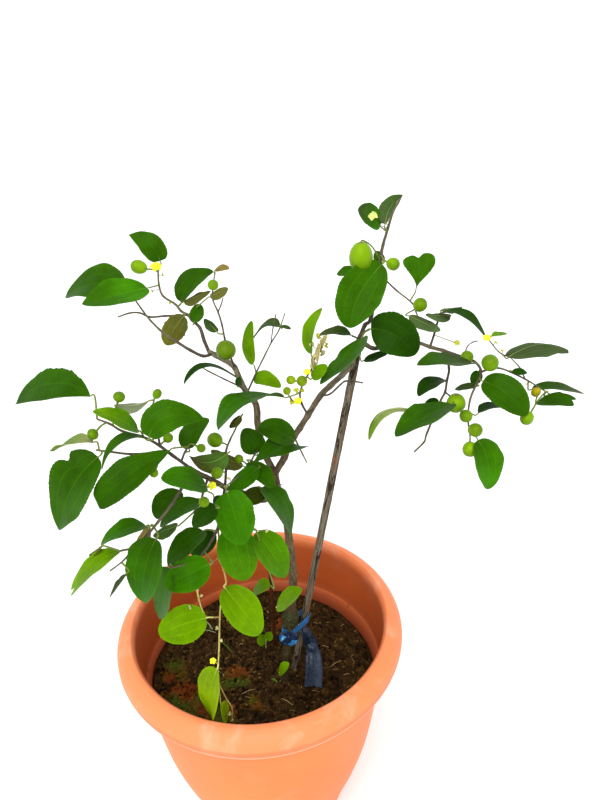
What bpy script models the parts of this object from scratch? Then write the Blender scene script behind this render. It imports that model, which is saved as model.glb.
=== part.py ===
# A young jujube tree with fruit, standing in a moulded plastic pot of soil, with a stake beside its trunk.
# The origin is the centre of the pot's flat underside, +Z is up, and the photograph is taken from -Y.
# The twigs, leaves and fruits are placed by the photograph: each has the pixel where it shows, and a depth
# in millimetres beyond the pot's axis, and the function `sight` turns the two into a place in space.

import bpy
import bmesh
import math
import random
from mathutils import Matrix, Vector

MM = 0.001
GAP = 0.3 * MM                  # between pieces that touch

# Driving dimensions

POT_HEIGHT = 255 * MM           # its rim measures 300 mm across
POT_SEGMENTS = 32
DRAIN_RADIUS = 5 * MM
DRAIN_CIRCLE = 55 * MM
DRAIN_COUNT = 6
DRAIN_BORE = Vector((0, 0, 10 * MM))

SOIL_LEVEL = 80 * MM            # below the top of the rim
SOIL_MOUND = 7 * MM
STEM_DEPTH = 60 * MM            # how far the trunk and the stake stand in the soil
ROOT_LEAN = Vector((-0.3, -0.15, -1))       # the root bends away from the stake
ROOT_BEND = 8 * MM              # below the place where the trunk enters the soil

TRUNK_RADIUS = 4.5 * MM         # at the soil
STAKE_RADIUS = 3.9 * MM
STICK_RADIUS = 1.9 * MM
TAPE_THICKNESS = 1.2 * MM
TAPE_WIDTH = 10 * MM

LEAF_THICKNESS = 0.8 * MM
LEAF_SHARE = 0.62               # natural width of a leaf as a share of its length
LEAF_WIDEST = 0.44              # where along its length a leaf is widest
LONG_LEAF = 40 * MM             # a longer leaf has more points in its outline
SHORT_LEAF = 15 * MM            # and a shorter one has fewer
STATIONS = ((0.09, 0.36, 0.66, 0.90), (0.13, 0.48, 0.82), (0.25, 0.72))
STALK_HALF_WIDTH = 0.8 * MM     # a leaf's stalk
SHORT_STALK = 2.4 * MM          # a shorter stalk is part of the blade's outline
SHARP_BEND = math.radians(65)   # a stalk that meets its leaf at more than this has a knee before it
KNEE = 2.5 * MM
STALK_RADIUS = 0.75 * MM        # a fruit's or a flower's stalk
STUB_CLEAR = 2                  # millimetres between a stub's end and the first leaf stalk
LOOK_BACK = 0.15                # a stalk comes from behind its leaf, by this share of the leaf's length
AIMS = {"up": Vector((0, 0, 1)), "left": Vector((-1, 0, 0)), "right": Vector((1, 0, 0))}

# The photograph's sight lines: a pinhole at EYE, measured from the centre of the rim's top

PHOTO_CENTRE = (300, 400)
PHOTO_FOCAL = 640               # pixels
EYE = Vector((53.4, -517.3, 494.8)) * MM + Vector((0, 0, POT_HEIGHT))
LOOK_DOWN = math.radians(25.524)
LEAN = math.radians(-2.685)

SIGHT_AHEAD = Vector((0, math.cos(LOOK_DOWN), -math.sin(LOOK_DOWN)))
UPRIGHT = Vector((0, math.sin(LOOK_DOWN), math.cos(LOOK_DOWN)))
SIDEWAYS = Vector((1, 0, 0))
SIGHT_RIGHT = SIDEWAYS * math.cos(LEAN) + UPRIGHT * math.sin(LEAN)
SIGHT_UP = UPRIGHT * math.cos(LEAN) - SIDEWAYS * math.sin(LEAN)


def sight_ray(x, y):
    right = (x - PHOTO_CENTRE[0]) / PHOTO_FOCAL
    up = (PHOTO_CENTRE[1] - y) / PHOTO_FOCAL
    return SIGHT_AHEAD + SIGHT_RIGHT * right + SIGHT_UP * up


def sight(x, y, depth):
    """The place that pixel (x, y) shows, `depth` millimetres beyond the pot's axis."""
    ray = sight_ray(x, y)
    return EYE + ray * ((depth * MM - EYE.y) / ray.y)


def sight_on_level(x, y, level):
    """The place that pixel (x, y) shows, at a height in metres."""
    ray = sight_ray(x, y)
    return EYE + ray * ((level - EYE.z) / ray.z)


def pixel_size(point):
    """How many metres one pixel spans at a place."""
    return (point - EYE).dot(SIGHT_AHEAD) / PHOTO_FOCAL


# Making objects

for old in list(bpy.data.objects):
    bpy.data.objects.remove(old, do_unlink=True)


def material(name, colour, roughness, metallic=0.0):
    made = bpy.data.materials.new(name)
    made.use_nodes = True
    shader = made.node_tree.nodes["Principled BSDF"]
    shader.inputs["Base Color"].default_value = (*colour, 1)
    shader.inputs["Roughness"].default_value = roughness
    shader.inputs["Metallic"].default_value = metallic
    return made


POT_PLASTIC = material("pot_plastic", (0.85, 0.30, 0.10), 0.45)
SOIL = material("soil", (0.035, 0.018, 0.008), 0.95)
BARK = material("bark", (0.16, 0.10, 0.06), 0.85)
STAKE_WOOD = material("stake_wood", (0.20, 0.15, 0.10), 0.8)
STICK_WOOD = material("stick_wood", (0.12, 0.03, 0.02), 0.7)
TAPE_PLASTIC = material("tape_plastic", (0.02, 0.14, 0.55), 0.4)
FOLIAGE = material("foliage", (0.06, 0.22, 0.02), 0.45)
YOUNG_FOLIAGE = material("young_foliage", (0.20, 0.42, 0.02), 0.5)


def add_object(name, mesh, surface, smooth_angle=40):
    made = bpy.data.objects.new(name, mesh)
    bpy.context.scene.collection.objects.link(made)
    mesh.materials.clear()
    mesh.materials.append(surface)
    mesh.shade_smooth()
    mesh.set_sharp_from_angle(angle=math.radians(smooth_angle))
    return made


def mesh_from(points, faces, name="piece"):
    mesh = bpy.data.meshes.new(name)
    mesh.from_pydata(points, [], faces)
    shape = bmesh.new()
    shape.from_mesh(mesh)
    bmesh.ops.recalc_face_normals(shape, faces=shape.faces)
    shape.to_mesh(mesh)
    shape.free()
    return mesh


def joined(name, meshes, surface):
    """One closed object from closed meshes that run into each other."""
    first = add_object(name, meshes[0], surface)
    others = bpy.data.collections.new(name + "_parts")
    for mesh in meshes[1:]:
        others.objects.link(bpy.data.objects.new("part", mesh))
    union = first.modifiers.new("union", "BOOLEAN")
    union.operation = "UNION"
    union.operand_type = "COLLECTION"
    union.solver = "EXACT"
    union.collection = others
    replace_by_evaluated(first)
    for part in list(others.objects):
        bpy.data.objects.remove(part, do_unlink=True)
    bpy.data.collections.remove(others)


def replace_by_evaluated(made):
    """Applies an object's modifiers."""
    bpy.context.view_layer.update()
    evaluated = made.evaluated_get(bpy.context.evaluated_depsgraph_get())
    mesh = bpy.data.meshes.new_from_object(evaluated)
    made.modifiers.clear()
    made.data = mesh


def cut(made, cutter_mesh):
    """Cuts a closed mesh out of an object and drops the cutter."""
    cutter = bpy.data.objects.new("cutter", cutter_mesh)
    bpy.context.scene.collection.objects.link(cutter)
    cutter.hide_render = True
    cutter.display_type = "WIRE"
    bore = made.modifiers.new("bore", "BOOLEAN")
    bore.operation = "DIFFERENCE"
    bore.object = cutter
    replace_by_evaluated(made)
    bpy.data.objects.remove(cutter, do_unlink=True)


# Shapes that repeat

def tube(points, thick, thin, sides):
    """A closed round bar along points, from radius `thick` at its start to `thin` at its end."""
    count = len(points)
    tangents = []
    for i in range(count):
        before = points[max(i - 1, 0)]
        after = points[min(i + 1, count - 1)]
        tangents.append((after - before).normalized())
    across = tangents[0].orthogonal().normalized()
    verts = []
    for i, (point, tangent) in enumerate(zip(points, tangents)):
        across = (across - tangent * across.dot(tangent)).normalized()
        beside = tangent.cross(across)
        radius = thick + (thin - thick) * i / (count - 1)
        for k in range(sides):
            angle = 2 * math.pi * k / sides
            verts.append(point + (across * math.cos(angle) + beside * math.sin(angle)) * radius)
    faces = [tuple(reversed(range(sides))), tuple(range((count - 1) * sides, count * sides))]
    for i in range(count - 1):
        for k in range(sides):
            a = i * sides + k
            b = i * sides + (k + 1) % sides
            faces.append((a, b, b + sides, a + sides))
    return mesh_from(verts, faces)


def half_width(s):
    """A leaf's half width at s, from 0 at its base to 1 at its tip, as a share of its greatest half width."""
    if s == 1:
        return 0
    u = s ** (math.log(0.5) / math.log(LEAF_WIDEST))
    return math.sqrt(1 - (2 * u - 1) ** 2) * (1 - 0.22 * s ** 5)


def blade(root, start, middle, end, normal, width, fold, stations):
    """A thin closed leaf on its stalk. The stalk runs from root to start, and the midrib on by middle to end.
    `fold` lifts the blade's two sides."""
    bow = middle - (start + end) / 2
    rise = math.tan(fold)
    spine = []
    for s in (*stations, 1):
        centre = start.lerp(end, s) + bow * (4 * s * (1 - s))
        along = (end - start + bow * (4 * (1 - 2 * s))).normalized()
        up = (normal - along * normal.dot(along)).normalized()
        spine.append((centre, along, up, half_width(s) * width / 2))
    heading = spine[0][1]
    upright = spine[0][2]
    stalk = start - root
    if stalk.length > SHORT_STALK:
        places = [root, start]
        if stalk.angle(heading) > SHARP_BEND:
            places.insert(1, start - heading * KNEE)
        for before, place in reversed(list(zip(places, places[1:]))):
            arriving = (place - before).normalized()
            bent = (arriving + heading).normalized()
            spine.insert(0, (place, bent, heading.rotation_difference(bent) @ upright, STALK_HALF_WIDTH))
            upright = heading.rotation_difference(arriving) @ upright
            heading = arriving
    spine.insert(0, (root, heading, upright, 0))
    upper = []
    lower = []
    for centre, along, up, half in spine:
        across = along.cross(up) * half
        lift = up * (half * rise if half > STALK_HALF_WIDTH else 0)
        half_thick = up * (LEAF_THICKNESS / 2)
        row = [centre - across + lift, centre, centre + across + lift] if half > 0 else [centre]
        upper += [point + half_thick for point in row]
        lower += [point - half_thick for point in row]
    count = len(upper)
    end_point = count - 1
    triangles = [(0, 2, 1), (0, 3, 2)]
    for here in range(1, end_point - 3, 3):
        for k in (here, here + 1):
            triangles.append((k, k + 1, k + 4))
            triangles.append((k, k + 4, k + 3))
    last = end_point - 3
    triangles += [(last, last + 1, end_point), (last + 1, last + 2, end_point)]
    faces = list(triangles)
    faces += [(a + count, c + count, b + count) for a, b, c in triangles]
    for side in (1, 3):
        edge = [0, *range(side, end_point, 3), end_point]
        for a, b in zip(edge, edge[1:]):
            faces.append((a, b, b + count))
            faces.append((a, b + count, a + count))
    return mesh_from(upper + lower, faces, "leaf")


def berry(centre, axis, across, along, sides=8, rings=5):
    """A closed egg-shaped fruit."""
    shape = bmesh.new()
    bmesh.ops.create_uvsphere(shape, u_segments=sides, v_segments=rings, radius=1)
    turn = axis.to_track_quat("Z", "Y").to_matrix().to_4x4()
    size = Matrix.Diagonal((across / 2, across / 2, along / 2, 1))
    bmesh.ops.transform(shape, matrix=Matrix.Translation(centre) @ turn @ size, verts=shape.verts)
    mesh = bpy.data.meshes.new("piece")
    shape.to_mesh(mesh)
    shape.free()
    return mesh


PETALS = 5
PETAL_THICKNESS = 1.0 * MM
FLOWER_THICKNESS = 2.4 * MM     # at the middle
NOTCH_SHARE = 0.4               # how deep the notches between petals reach, as a share of the radius


def star(centre, normal, across):
    """A small flower: petals round a thicker middle, as one closed star."""
    side = normal.orthogonal().normalized()
    beside = normal.cross(side)
    ring = []
    for k in range(2 * PETALS):
        radius = across / 2 * (1 if k % 2 == 0 else NOTCH_SHARE)
        angle = math.pi * k / PETALS
        ring.append(centre + (side * math.cos(angle) + beside * math.sin(angle)) * radius)
    thick = normal * (PETAL_THICKNESS / 2)
    crest = normal * (FLOWER_THICKNESS / 2)
    count = len(ring)
    verts = [p + thick for p in ring] + [p - thick for p in ring] + [centre + crest, centre - crest]
    faces = []
    for k in range(count):
        n = (k + 1) % count
        faces.append((k, n, 2 * count))
        faces.append((n + count, k + count, 2 * count + 1))
        faces.append((k, k + count, n + count))
        faces.append((k, n + count, n))
    return mesh_from(verts, faces)


# The pot: one moulded piece. Its rim is a thick roll with a lip under it, and the body curves in to a flat
# foot. Its outlines are (radius, distance below the rim's top) in millimetres.

POT_OUTSIDE = (
    (131, 4), (134, 0), (139, 0.6), (145, 5), (149, 11.5), (150, 19), (147.5, 27),
    (142, 32.5), (136.5, 35), (136.2, 39), (133.2, 41), (128.6, 70), (123, 110),
    (116.5, 150), (106, 190), (94, 225), (88, 246), (84, 255),
)
POT_INSIDE = ((80, 250), (91, 225), (103, 190), (119.5, 110), (123.5, 74), (128, 68), (130, 36))


def build_pot():
    outside = [(r * MM, POT_HEIGHT - d * MM) for r, d in POT_OUTSIDE]
    inside = [(r * MM, POT_HEIGHT - d * MM) for r, d in POT_INSIDE]
    ring = outside + inside
    segments = POT_SEGMENTS
    verts = []
    for radius, height in ring:
        for k in range(segments):
            angle = 2 * math.pi * k / segments
            verts.append(Vector((radius * math.cos(angle), radius * math.sin(angle), height)))
    foot = len(outside) - 1
    faces = []
    for i in range(len(ring)):
        if i == foot:
            continue
        j = (i + 1) % len(ring)
        for k in range(segments):
            n = (k + 1) % segments
            faces.append((i * segments + k, j * segments + k, j * segments + n, i * segments + n))
    faces.append(tuple(foot * segments + k for k in range(segments)))
    faces.append(tuple((foot + 1) * segments + k for k in range(segments)))
    pot = add_object("pot", mesh_from(verts, faces), POT_PLASTIC)
    for k in range(DRAIN_COUNT):
        angle = 2 * math.pi * k / DRAIN_COUNT
        at = Vector((DRAIN_CIRCLE * math.cos(angle), DRAIN_CIRCLE * math.sin(angle), 0))
        cut(pot, tube([at - DRAIN_BORE, at + DRAIN_BORE], DRAIN_RADIUS, DRAIN_RADIUS, 8))


# The soil fills the pot from its floor to a lumpy top, higher round the trunk, with a plain hole for each
# stem.

SOIL_RINGS = (20, 46, 72, 94, 111)
SOIL_INSIDE = ((79.5, 249.5), (90.4, 225), (102.4, 190), (118.9, 110))
SOIL_EDGE = 121.4 * MM
SOIL_CENTRE = (10 * MM, -10 * MM)
MOUND_REACH = 60 * MM
SOIL_SLOPE = -0.045             # it lies lower at the right
SOIL_ROUGHNESS = 1.3 * MM
LUMPS = (1.2 * MM, 13 * MM, 17 * MM)        # height, and lengths along X and Y
FURROWS = (0.9 * MM, 23 * MM)


def soil_top(x, y):
    """The height of the soil's top."""
    off = math.hypot(x - SOIL_CENTRE[0], y - SOIL_CENTRE[1])
    mound = SOIL_MOUND * math.exp(-(off / MOUND_REACH) ** 2)
    lumps = LUMPS[0] * math.sin(x / LUMPS[1]) * math.cos(y / LUMPS[2])
    furrows = FURROWS[0] * math.sin((x + 2 * y) / FURROWS[1])
    return POT_HEIGHT - SOIL_LEVEL + mound + SOIL_SLOPE * x + lumps + furrows


def build_soil():
    draw = random.Random(5)
    segments = POT_SEGMENTS
    verts = []
    for radius, depth in SOIL_INSIDE:
        for k in range(segments):
            angle = 2 * math.pi * k / segments
            height = POT_HEIGHT - depth * MM
            verts.append(Vector((radius * MM * math.cos(angle), radius * MM * math.sin(angle), height)))
    for radius in (SOIL_EDGE, *(r * MM for r in reversed(SOIL_RINGS))):
        for k in range(segments):
            angle = 2 * math.pi * k / segments
            x = radius * math.cos(angle)
            y = radius * math.sin(angle)
            rough = 0 if radius == SOIL_EDGE else draw.uniform(-SOIL_ROUGHNESS, SOIL_ROUGHNESS)
            verts.append(Vector((x, y, soil_top(x, y) + rough)))
    rows = len(SOIL_INSIDE) + 1 + len(SOIL_RINGS)
    verts.append(Vector((0, 0, soil_top(0, 0))))
    faces = [tuple(range(segments))]
    for i in range(rows - 1):
        for k in range(segments):
            n = (k + 1) % segments
            a = i * segments
            b = a + segments
            if i < len(SOIL_INSIDE):
                faces.append((a + k, b + k, b + n, a + n))
            else:
                faces.append((a + k, b + k, b + n))
                faces.append((a + k, b + n, a + n))
    top = (rows - 1) * segments
    for k in range(segments):
        faces.append((top + k, len(verts) - 1, top + (k + 1) % segments))
    return add_object("soil", mesh_from(verts, faces), SOIL, smooth_angle=60)


BORE_ABOVE = 30 * MM            # the cutter stands this far out of the soil


def bore_soil(soil, stem, radius, sides):
    """A plain hole in the soil for a stem, given as its points from its foot up to the soil's top."""
    below = (stem[0] - stem[1]).normalized() * GAP
    above = (stem[-1] - stem[-2]).normalized() * BORE_ABOVE
    cut(soil, tube([stem[0] + below, *stem[1:], stem[-1] + above], radius + GAP, radius + GAP, sides))


# A node that grows: the trunk, or a spray of twigs with leaves, fruits and flowers, joined into one solid
# at the end.

class Growth:
    def __init__(self, name, surface):
        self.name = name
        self.surface = surface
        self.meshes = []
        self.wood = []              # (pixel x, pixel y, depth) along every twig

    def bar(self, places, thick, thin, sides=0):
        """A round bar, with radii in millimetres."""
        sides = sides or (6 if thick > 2 else 5 if thick > 1.4 else 4)
        self.meshes.append(tube(places, thick * MM, thin * MM, sides))

    def twig(self, route, thick, thin):
        """A twig along (pixel x, pixel y, depth) points, with radii in millimetres."""
        places = [sight(*point) for point in route]
        self.bar(places, thick, thin)
        self.remember(route)

    def remember(self, route, skip=0):
        """Keeps the places along a route where leaves can root, but for those within `skip` of its start."""
        first = sight(*route[0])
        for (xa, ya, da), (xb, yb, db) in zip(route, route[1:]):
            steps = max(1, int(math.hypot(xb - xa, yb - ya) / 3))
            for i in range(steps + 1):
                t = i / steps
                x = xa + (xb - xa) * t
                y = ya + (yb - ya) * t
                depth = da + (db - da) * t
                if (sight(x, y, depth) - first).length >= skip:
                    self.wood.append((x, y, depth))

    def sprout_from(self, parent, route, thick, thin, stub=8):
        """The spray's first twig. It starts on the parent's wood, which has a short stub with a flat end."""
        places = [sight(*point) for point in route]
        away = (places[1] - places[0]).normalized()
        end = places[0] + away * (stub * MM)
        parent.bar([places[0], end], thick, thick)
        self.bar([end + away * GAP, *places[1:]], thick, thin)
        self.remember(route, (stub + STUB_CLEAR) * MM)

    def nearest(self, x, y):
        """The depth and place of the wood that shows nearest to a pixel."""
        best = min(self.wood, key=lambda point: math.hypot(point[0] - x, point[1] - y))
        return best[2], sight(*best)

    def stalk(self, root, end):
        """A fruit's or a flower's stalk, which begins inside the wood."""
        self.meshes.append(tube([root, end], STALK_RADIUS, STALK_RADIUS, 3))

    def leaf(self, base, tip, seen, middle=None, reach=0, shift=0, rise=0.09, fold=12, face="upper",
             toward="up", share=LEAF_SHARE):
        """A leaf from pixel `base` by `middle` to `tip`, `seen` pixels wide. Its tip is `reach` mm farther
        than its base, and `shift` moves the whole leaf away. It turns about its length until its natural
        width looks as narrow as seen, its upper side going `toward`. Its middle stands up by `rise`, as a
        share of its length."""
        behind_x = base[0] - (tip[0] - base[0]) * LOOK_BACK
        behind_y = base[1] - (tip[1] - base[1]) * LOOK_BACK
        depth, root = self.nearest(behind_x, behind_y)
        start = sight(*base, depth + shift)
        end = sight(*tip, depth + shift + reach)
        length = (end - start).length
        axis = (end - start).normalized()
        lifted = -1 if face == "upper" else 1
        centre = middle or ((base[0] + tip[0]) / 2, (base[1] + tip[1]) / 2)
        half_way = sight(*centre, depth + shift + reach / 2 + lifted * rise * length / MM)
        seen_width = seen * pixel_size(half_way)
        width = max(share * length, seen_width)
        turn = math.acos(min(1.0, seen_width / width))
        to_eye = (EYE - half_way).normalized()
        normal = (to_eye - axis * to_eye.dot(axis)).normalized()
        side = axis.cross(normal)
        sense = 1 if side.dot(AIMS[toward]) >= 0 else -1
        normal = normal * math.cos(turn) + side * (math.sin(turn) * sense)
        if face == "under":
            normal = -normal
        stations = STATIONS[0 if length > LONG_LEAF else 1 if length > SHORT_LEAF else 2]
        self.meshes.append(blade(root, start, half_way, end, normal, width, math.radians(fold), stations))

    def fruit(self, centre, across, along=None, shift=0, hang=None, upright=False):
        """A fruit at pixel `centre`, sized in pixels. Its stalk comes from the wood nearest to it or to
        pixel `hang`, and the fruit lies in line with it unless it is upright."""
        depth, root = self.nearest(*(hang or centre))
        place = sight(*centre, depth + shift)
        size = pixel_size(place)
        along = along or across * 1.06
        in_line = (root - place).length > 3 * MM and not upright
        axis = (root - place).normalized() if in_line else Vector((0, 0, 1))
        sides, rings = (10, 6) if across > 16 else (8, 5) if across > 13 else (7, 4)
        self.meshes.append(berry(place, axis, across * size, along * size, sides, rings))
        self.stalk(root, place)

    def flower(self, centre, across, shift=-2):
        depth, root = self.nearest(*centre)
        place = sight(*centre, depth + shift)
        facing = ((EYE - place).normalized() + Vector((0, 0, 1))).normalized()
        self.meshes.append(star(place, facing, across * pixel_size(place)))
        self.stalk(root, place)

    def finish(self):
        joined(self.name, self.meshes, self.surface)


# The trunk, with its graft lump and the limbs that fork from it, all one piece of wood. Its routes are
# (pixel x, pixel y, depth) points.

TRUNK_ROUTE = (
    (285, 678, -20), (287, 645, -20), (291, 617, -20), (293, 585, -21), (292, 560, -23), (290, 545, -24),
    (288, 530, -25), (285, 510, -27), (278, 490, -29), (275, 473, -30),
)
LEFT_LIMB = (
    (275, 473, -30), (264, 452, -27), (258, 425, -24), (256, 405, -22), (247, 393, -20), (240, 380, -17),
    (235, 368, -14), (228, 362, -10), (215, 355, -5), (209, 352, -2),
)
RIGHT_LIMB = (
    (275, 473, -30), (284, 458, -28), (288, 448, -26), (294, 436, -22), (300, 428, -18), (308, 415, -12),
    (320, 396, -5), (330, 386, 0), (342, 375, 4), (350, 365, 6), (357, 345, 8), (361, 335, 9),
)
FRONT_LIMB = (
    (279, 493, -29), (262, 500, -50), (240, 492, -75), (225, 487, -92), (212, 480, -105), (198, 473, -115),
    (190, 468, -120),
)
SIDE_LIMB = (
    (360, 340, 8), (372, 348, 5), (382, 347, 1), (400, 344, -5), (418, 343, -11), (430, 347, -14),
    (445, 351, -17),
)
BARE_TWIG = (
    (320, 396, -5), (330, 394, -16), (340, 385, -22), (346, 381, -24), (358, 382, -26), (363, 383, -27),
)
GRAFT_LUMP = (290.5, 619, -21)
GRAFT_SIZE = (17, 22)           # pixels across and along
THORN = ((276, 486, -30), (282, 484, -38))


def build_trunk():
    trunk = Growth("trunk", BARK)
    route = [sight(*point) for point in TRUNK_ROUTE]
    down = (route[0] - route[1]).normalized()
    bend = route[0] + down * ROOT_BEND
    root = [bend + ROOT_LEAN.normalized() * STEM_DEPTH, bend]
    trunk.bar([*root, *route], TRUNK_RADIUS / MM, 3.3, sides=8)
    trunk.remember(TRUNK_ROUTE)
    trunk.twig(LEFT_LIMB, 3.0, 2.2)
    trunk.twig(RIGHT_LIMB, 3.0, 2.4)
    trunk.twig(FRONT_LIMB, 2.6, 1.7)
    trunk.twig(SIDE_LIMB, 2.0, 1.5)
    trunk.twig(BARE_TWIG, 0.9, 0.7)
    lump = sight(*GRAFT_LUMP)
    size = pixel_size(lump)
    trunk.meshes.append(berry(lump, down, GRAFT_SIZE[0] * size, GRAFT_SIZE[1] * size, 10, 7))
    thorn = [sight(*point) for point in THORN]
    trunk.bar(thorn, 1.4, 0.5, sides=4)
    return trunk, [*root, route[0]]


# The stake stands in the soil beside the trunk and leans away behind the right limb. The thin stick is
# shorter. A foot is the pixel where it enters the soil, and a top has a depth too.

STAKE_FOOT = (293.5, 672)
STAKE_TOP = (359.5, 341, 34)
STICK_FOOT = (275, 650)
STICK_TOP = (270, 568, 19)


def build_stake(name, foot_pixel, top_point, radius, sides, surface):
    entry = sight_on_level(*foot_pixel, POT_HEIGHT - SOIL_LEVEL)
    top = sight(*top_point)
    down = (entry - top).normalized()
    foot = entry + down * STEM_DEPTH
    add_object(name, tube([foot, top], radius, radius, sides), surface)
    return [foot, entry]


# The tie: a strip of blue plastic round the trunk and the stake, knotted in front, with one long tail down
# on the soil.

KNOT = (288, 638, -28.6)
KNOT_SIZE = (15, 15, 8)         # millimetres across, high and deep
TAPE_CLEARANCE = 1.0 * MM
BAND_ARC = 6                    # faces round each bar
TAIL_LEFT = ((299, 630, -13), (303, 638, -16), (305.5, 650, -12), (305.5, 668, -24), (304.5, 687, -44))
TAIL_RIGHT = ((305, 626, -8), (312, 633, -10), (318.5, 647, -9), (322.5, 666, -23), (322, 688, -46))
TAIL_FOLD = 3 * MM              # how far the middle of the tail stands up


def place_at(low, high, height):
    """Where a straight bar through two points stands at a height."""
    return low.lerp(high, (height - low.z) / (high.z - low.z))


def band(bars, bottom, top):
    """A closed loop of tape round two leaning bars, each given as (low point, high point, radius)."""
    (low_a, high_a, radius_a), (low_b, high_b, radius_b) = bars
    rings = []
    for extra in (0, TAPE_THICKNESS):
        for height in (bottom, top):
            a = place_at(low_a, high_a, height)
            b = place_at(low_b, high_b, height)
            heading = math.atan2(b.y - a.y, b.x - a.x)
            tilt = math.asin((radius_a - radius_b) / math.hypot(b.x - a.x, b.y - a.y))
            right = math.pi / 2 - tilt
            left = math.pi * 3 / 2 + tilt
            ring = []
            for centre, radius, first, last in ((b, radius_b, -right, right), (a, radius_a, right, left)):
                for k in range(BAND_ARC + 1):
                    angle = heading + first + (last - first) * k / BAND_ARC
                    reach = radius + TAPE_CLEARANCE + extra
                    ring.append(centre + Vector((reach * math.cos(angle), reach * math.sin(angle), 0)))
            rings.append(ring)
    verts = [point for ring in rings for point in ring]
    n = len(rings[0])
    faces = []
    for k in range(n):
        m = (k + 1) % n
        faces.append((k, m, n + m, n + k))
        faces.append((2 * n + k, 2 * n + m, 3 * n + m, 3 * n + k))
        faces.append((k, m, 2 * n + m, 2 * n + k))
        faces.append((n + k, n + m, 3 * n + m, 3 * n + k))
    return mesh_from(verts, faces)


def folded_strip(left, right, rise, thickness):
    """A strip between two edges, with a crease along its middle."""
    rows = []
    for i, (a, b) in enumerate(zip(left, right)):
        after = left[min(i + 1, len(left) - 1)]
        before = left[max(i - 1, 0)]
        normal = (b - a).cross(after - before).normalized()
        if normal.z < 0:
            normal = -normal
        rows.append((a, (a + b) / 2 + normal * rise, b, normal * (thickness / 2)))
    upper = [p + thick for a, middle, b, thick in rows for p in (a, middle, b)]
    lower = [p - thick for a, middle, b, thick in rows for p in (a, middle, b)]
    n = len(upper)
    faces = []
    for i in range(len(rows) - 1):
        for p in (i * 3, i * 3 + 1):
            for tri in ((p, p + 1, p + 4), (p, p + 4, p + 3)):
                faces.append(tri)
                faces.append(tuple(v + n for v in reversed(tri)))
    edge = [i * 3 for i in range(len(rows))]
    edge.append(n - 2)
    edge += [i * 3 + 2 for i in reversed(range(len(rows)))]
    edge.append(1)
    for a, b in zip(edge, edge[1:] + edge[:1]):
        faces.append((a, b, b + n))
        faces.append((a, b + n, a + n))
    return mesh_from(upper + lower, faces)


def build_tape(bars):
    tape = Growth("tie_tape", TAPE_PLASTIC)
    knot = sight(*KNOT)
    wide, high, deep = (size * MM for size in KNOT_SIZE)
    lump = berry(knot, Vector((0, 0, 1)), wide, high, 8, 6)
    for vert in lump.vertices:
        vert.co.y = knot.y + (vert.co.y - knot.y) * deep / wide
    tape.meshes.append(lump)
    tape.meshes.append(band(bars, knot.z - TAPE_WIDTH / 2, knot.z + TAPE_WIDTH / 2))
    left = [sight(*point) for point in TAIL_LEFT]
    right = [sight(*point) for point in TAIL_RIGHT]
    tape.meshes.append(folded_strip(left, right, TAIL_FOLD, TAPE_THICKNESS))
    return tape


build_pot()
soil = build_soil()
trunk, trunk_root = build_trunk()
stake_root = build_stake("stake", STAKE_FOOT, STAKE_TOP, STAKE_RADIUS, 10, STAKE_WOOD)
stick_root = build_stake("thin_stick", STICK_FOOT, STICK_TOP, STICK_RADIUS, 8, STICK_WOOD)
tape = build_tape(((*trunk_root[1:], TRUNK_RADIUS), (*stake_root, STAKE_RADIUS)))


# The sprays, from the top right round to the left, then down the front. Each grows from a stub on its parent.

sprays = []


def spray(name, surface=FOLIAGE):
    made = Growth(name, surface)
    sprays.append(made)
    return made


# The crown of the right limb, with the largest fruit

crown = spray("spray_crown")
crown.sprout_from(trunk, (
    (361, 335, 9), (365, 325, 10), (371, 318, 11), (376, 285, 16), (381, 255, 22), (383, 245, 26),
    (388, 228, 30), (393, 212, 36), (398, 203, 40), (402, 195, 44),
), 2.3, 0.9)
crown.twig((
    (378, 270, 19), (384, 278, 14), (396, 290, 8), (412, 303, 2), (416, 312, 0), (419, 320, -2),
), 0.9, 0.7)
crown.leaf((385, 224), (402, 195), 13, (390, 207), reach=-4, shift=-6, face="under", toward="right", fold=20)
crown.leaf((380, 226), (358, 209), 20, (368, 215), reach=-14, shift=-4, fold=20)
crown.leaf((382, 265), (376, 251), 11, reach=6, shift=6)
crown.leaf((354, 269), (337, 274), 9, reach=6, shift=2)
crown.leaf((382, 264), (351, 328), 45, (358, 297), reach=-24, shift=-24, rise=0.06)
crown.leaf((416, 289), (418, 254), 32, (419, 270), reach=14, fold=18)
crown.leaf((409, 316), (440, 331), 12, reach=-18, shift=-6, face="under", share=0.45)
crown.fruit((361, 257), 24, 31, shift=-20, upright=True)
crown.fruit((393, 264), 13, shift=-6)
crown.fruit((420, 305), 14, shift=-4)
crown.flower((372, 216), 12, shift=-16)

# Leaves round the fork of the right limb

fork = spray("spray_right_fork")
fork.sprout_from(trunk, ((357, 345, 8), (359, 339, -7), (363, 333, -12), (370, 329, -16)), 1.5, 1.1, stub=7)
fork.twig(((359, 339, -7), (355, 337, -12), (352, 336, -14)), 1.0, 0.8)
fork.leaf((371, 329), (415, 355), 42, (395, 335), reach=-10, shift=-4)
fork.leaf((362, 338), (320, 384), 16, (348, 360), reach=-26, shift=-6, toward="left")
fork.leaf((351, 335), (318, 336), 9, (335, 332), reach=8)
fork.leaf((364, 360), (389, 351), 8, (378, 357), reach=-4, shift=-2)

# The yellow-green cluster in the middle, with flower buds

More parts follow.
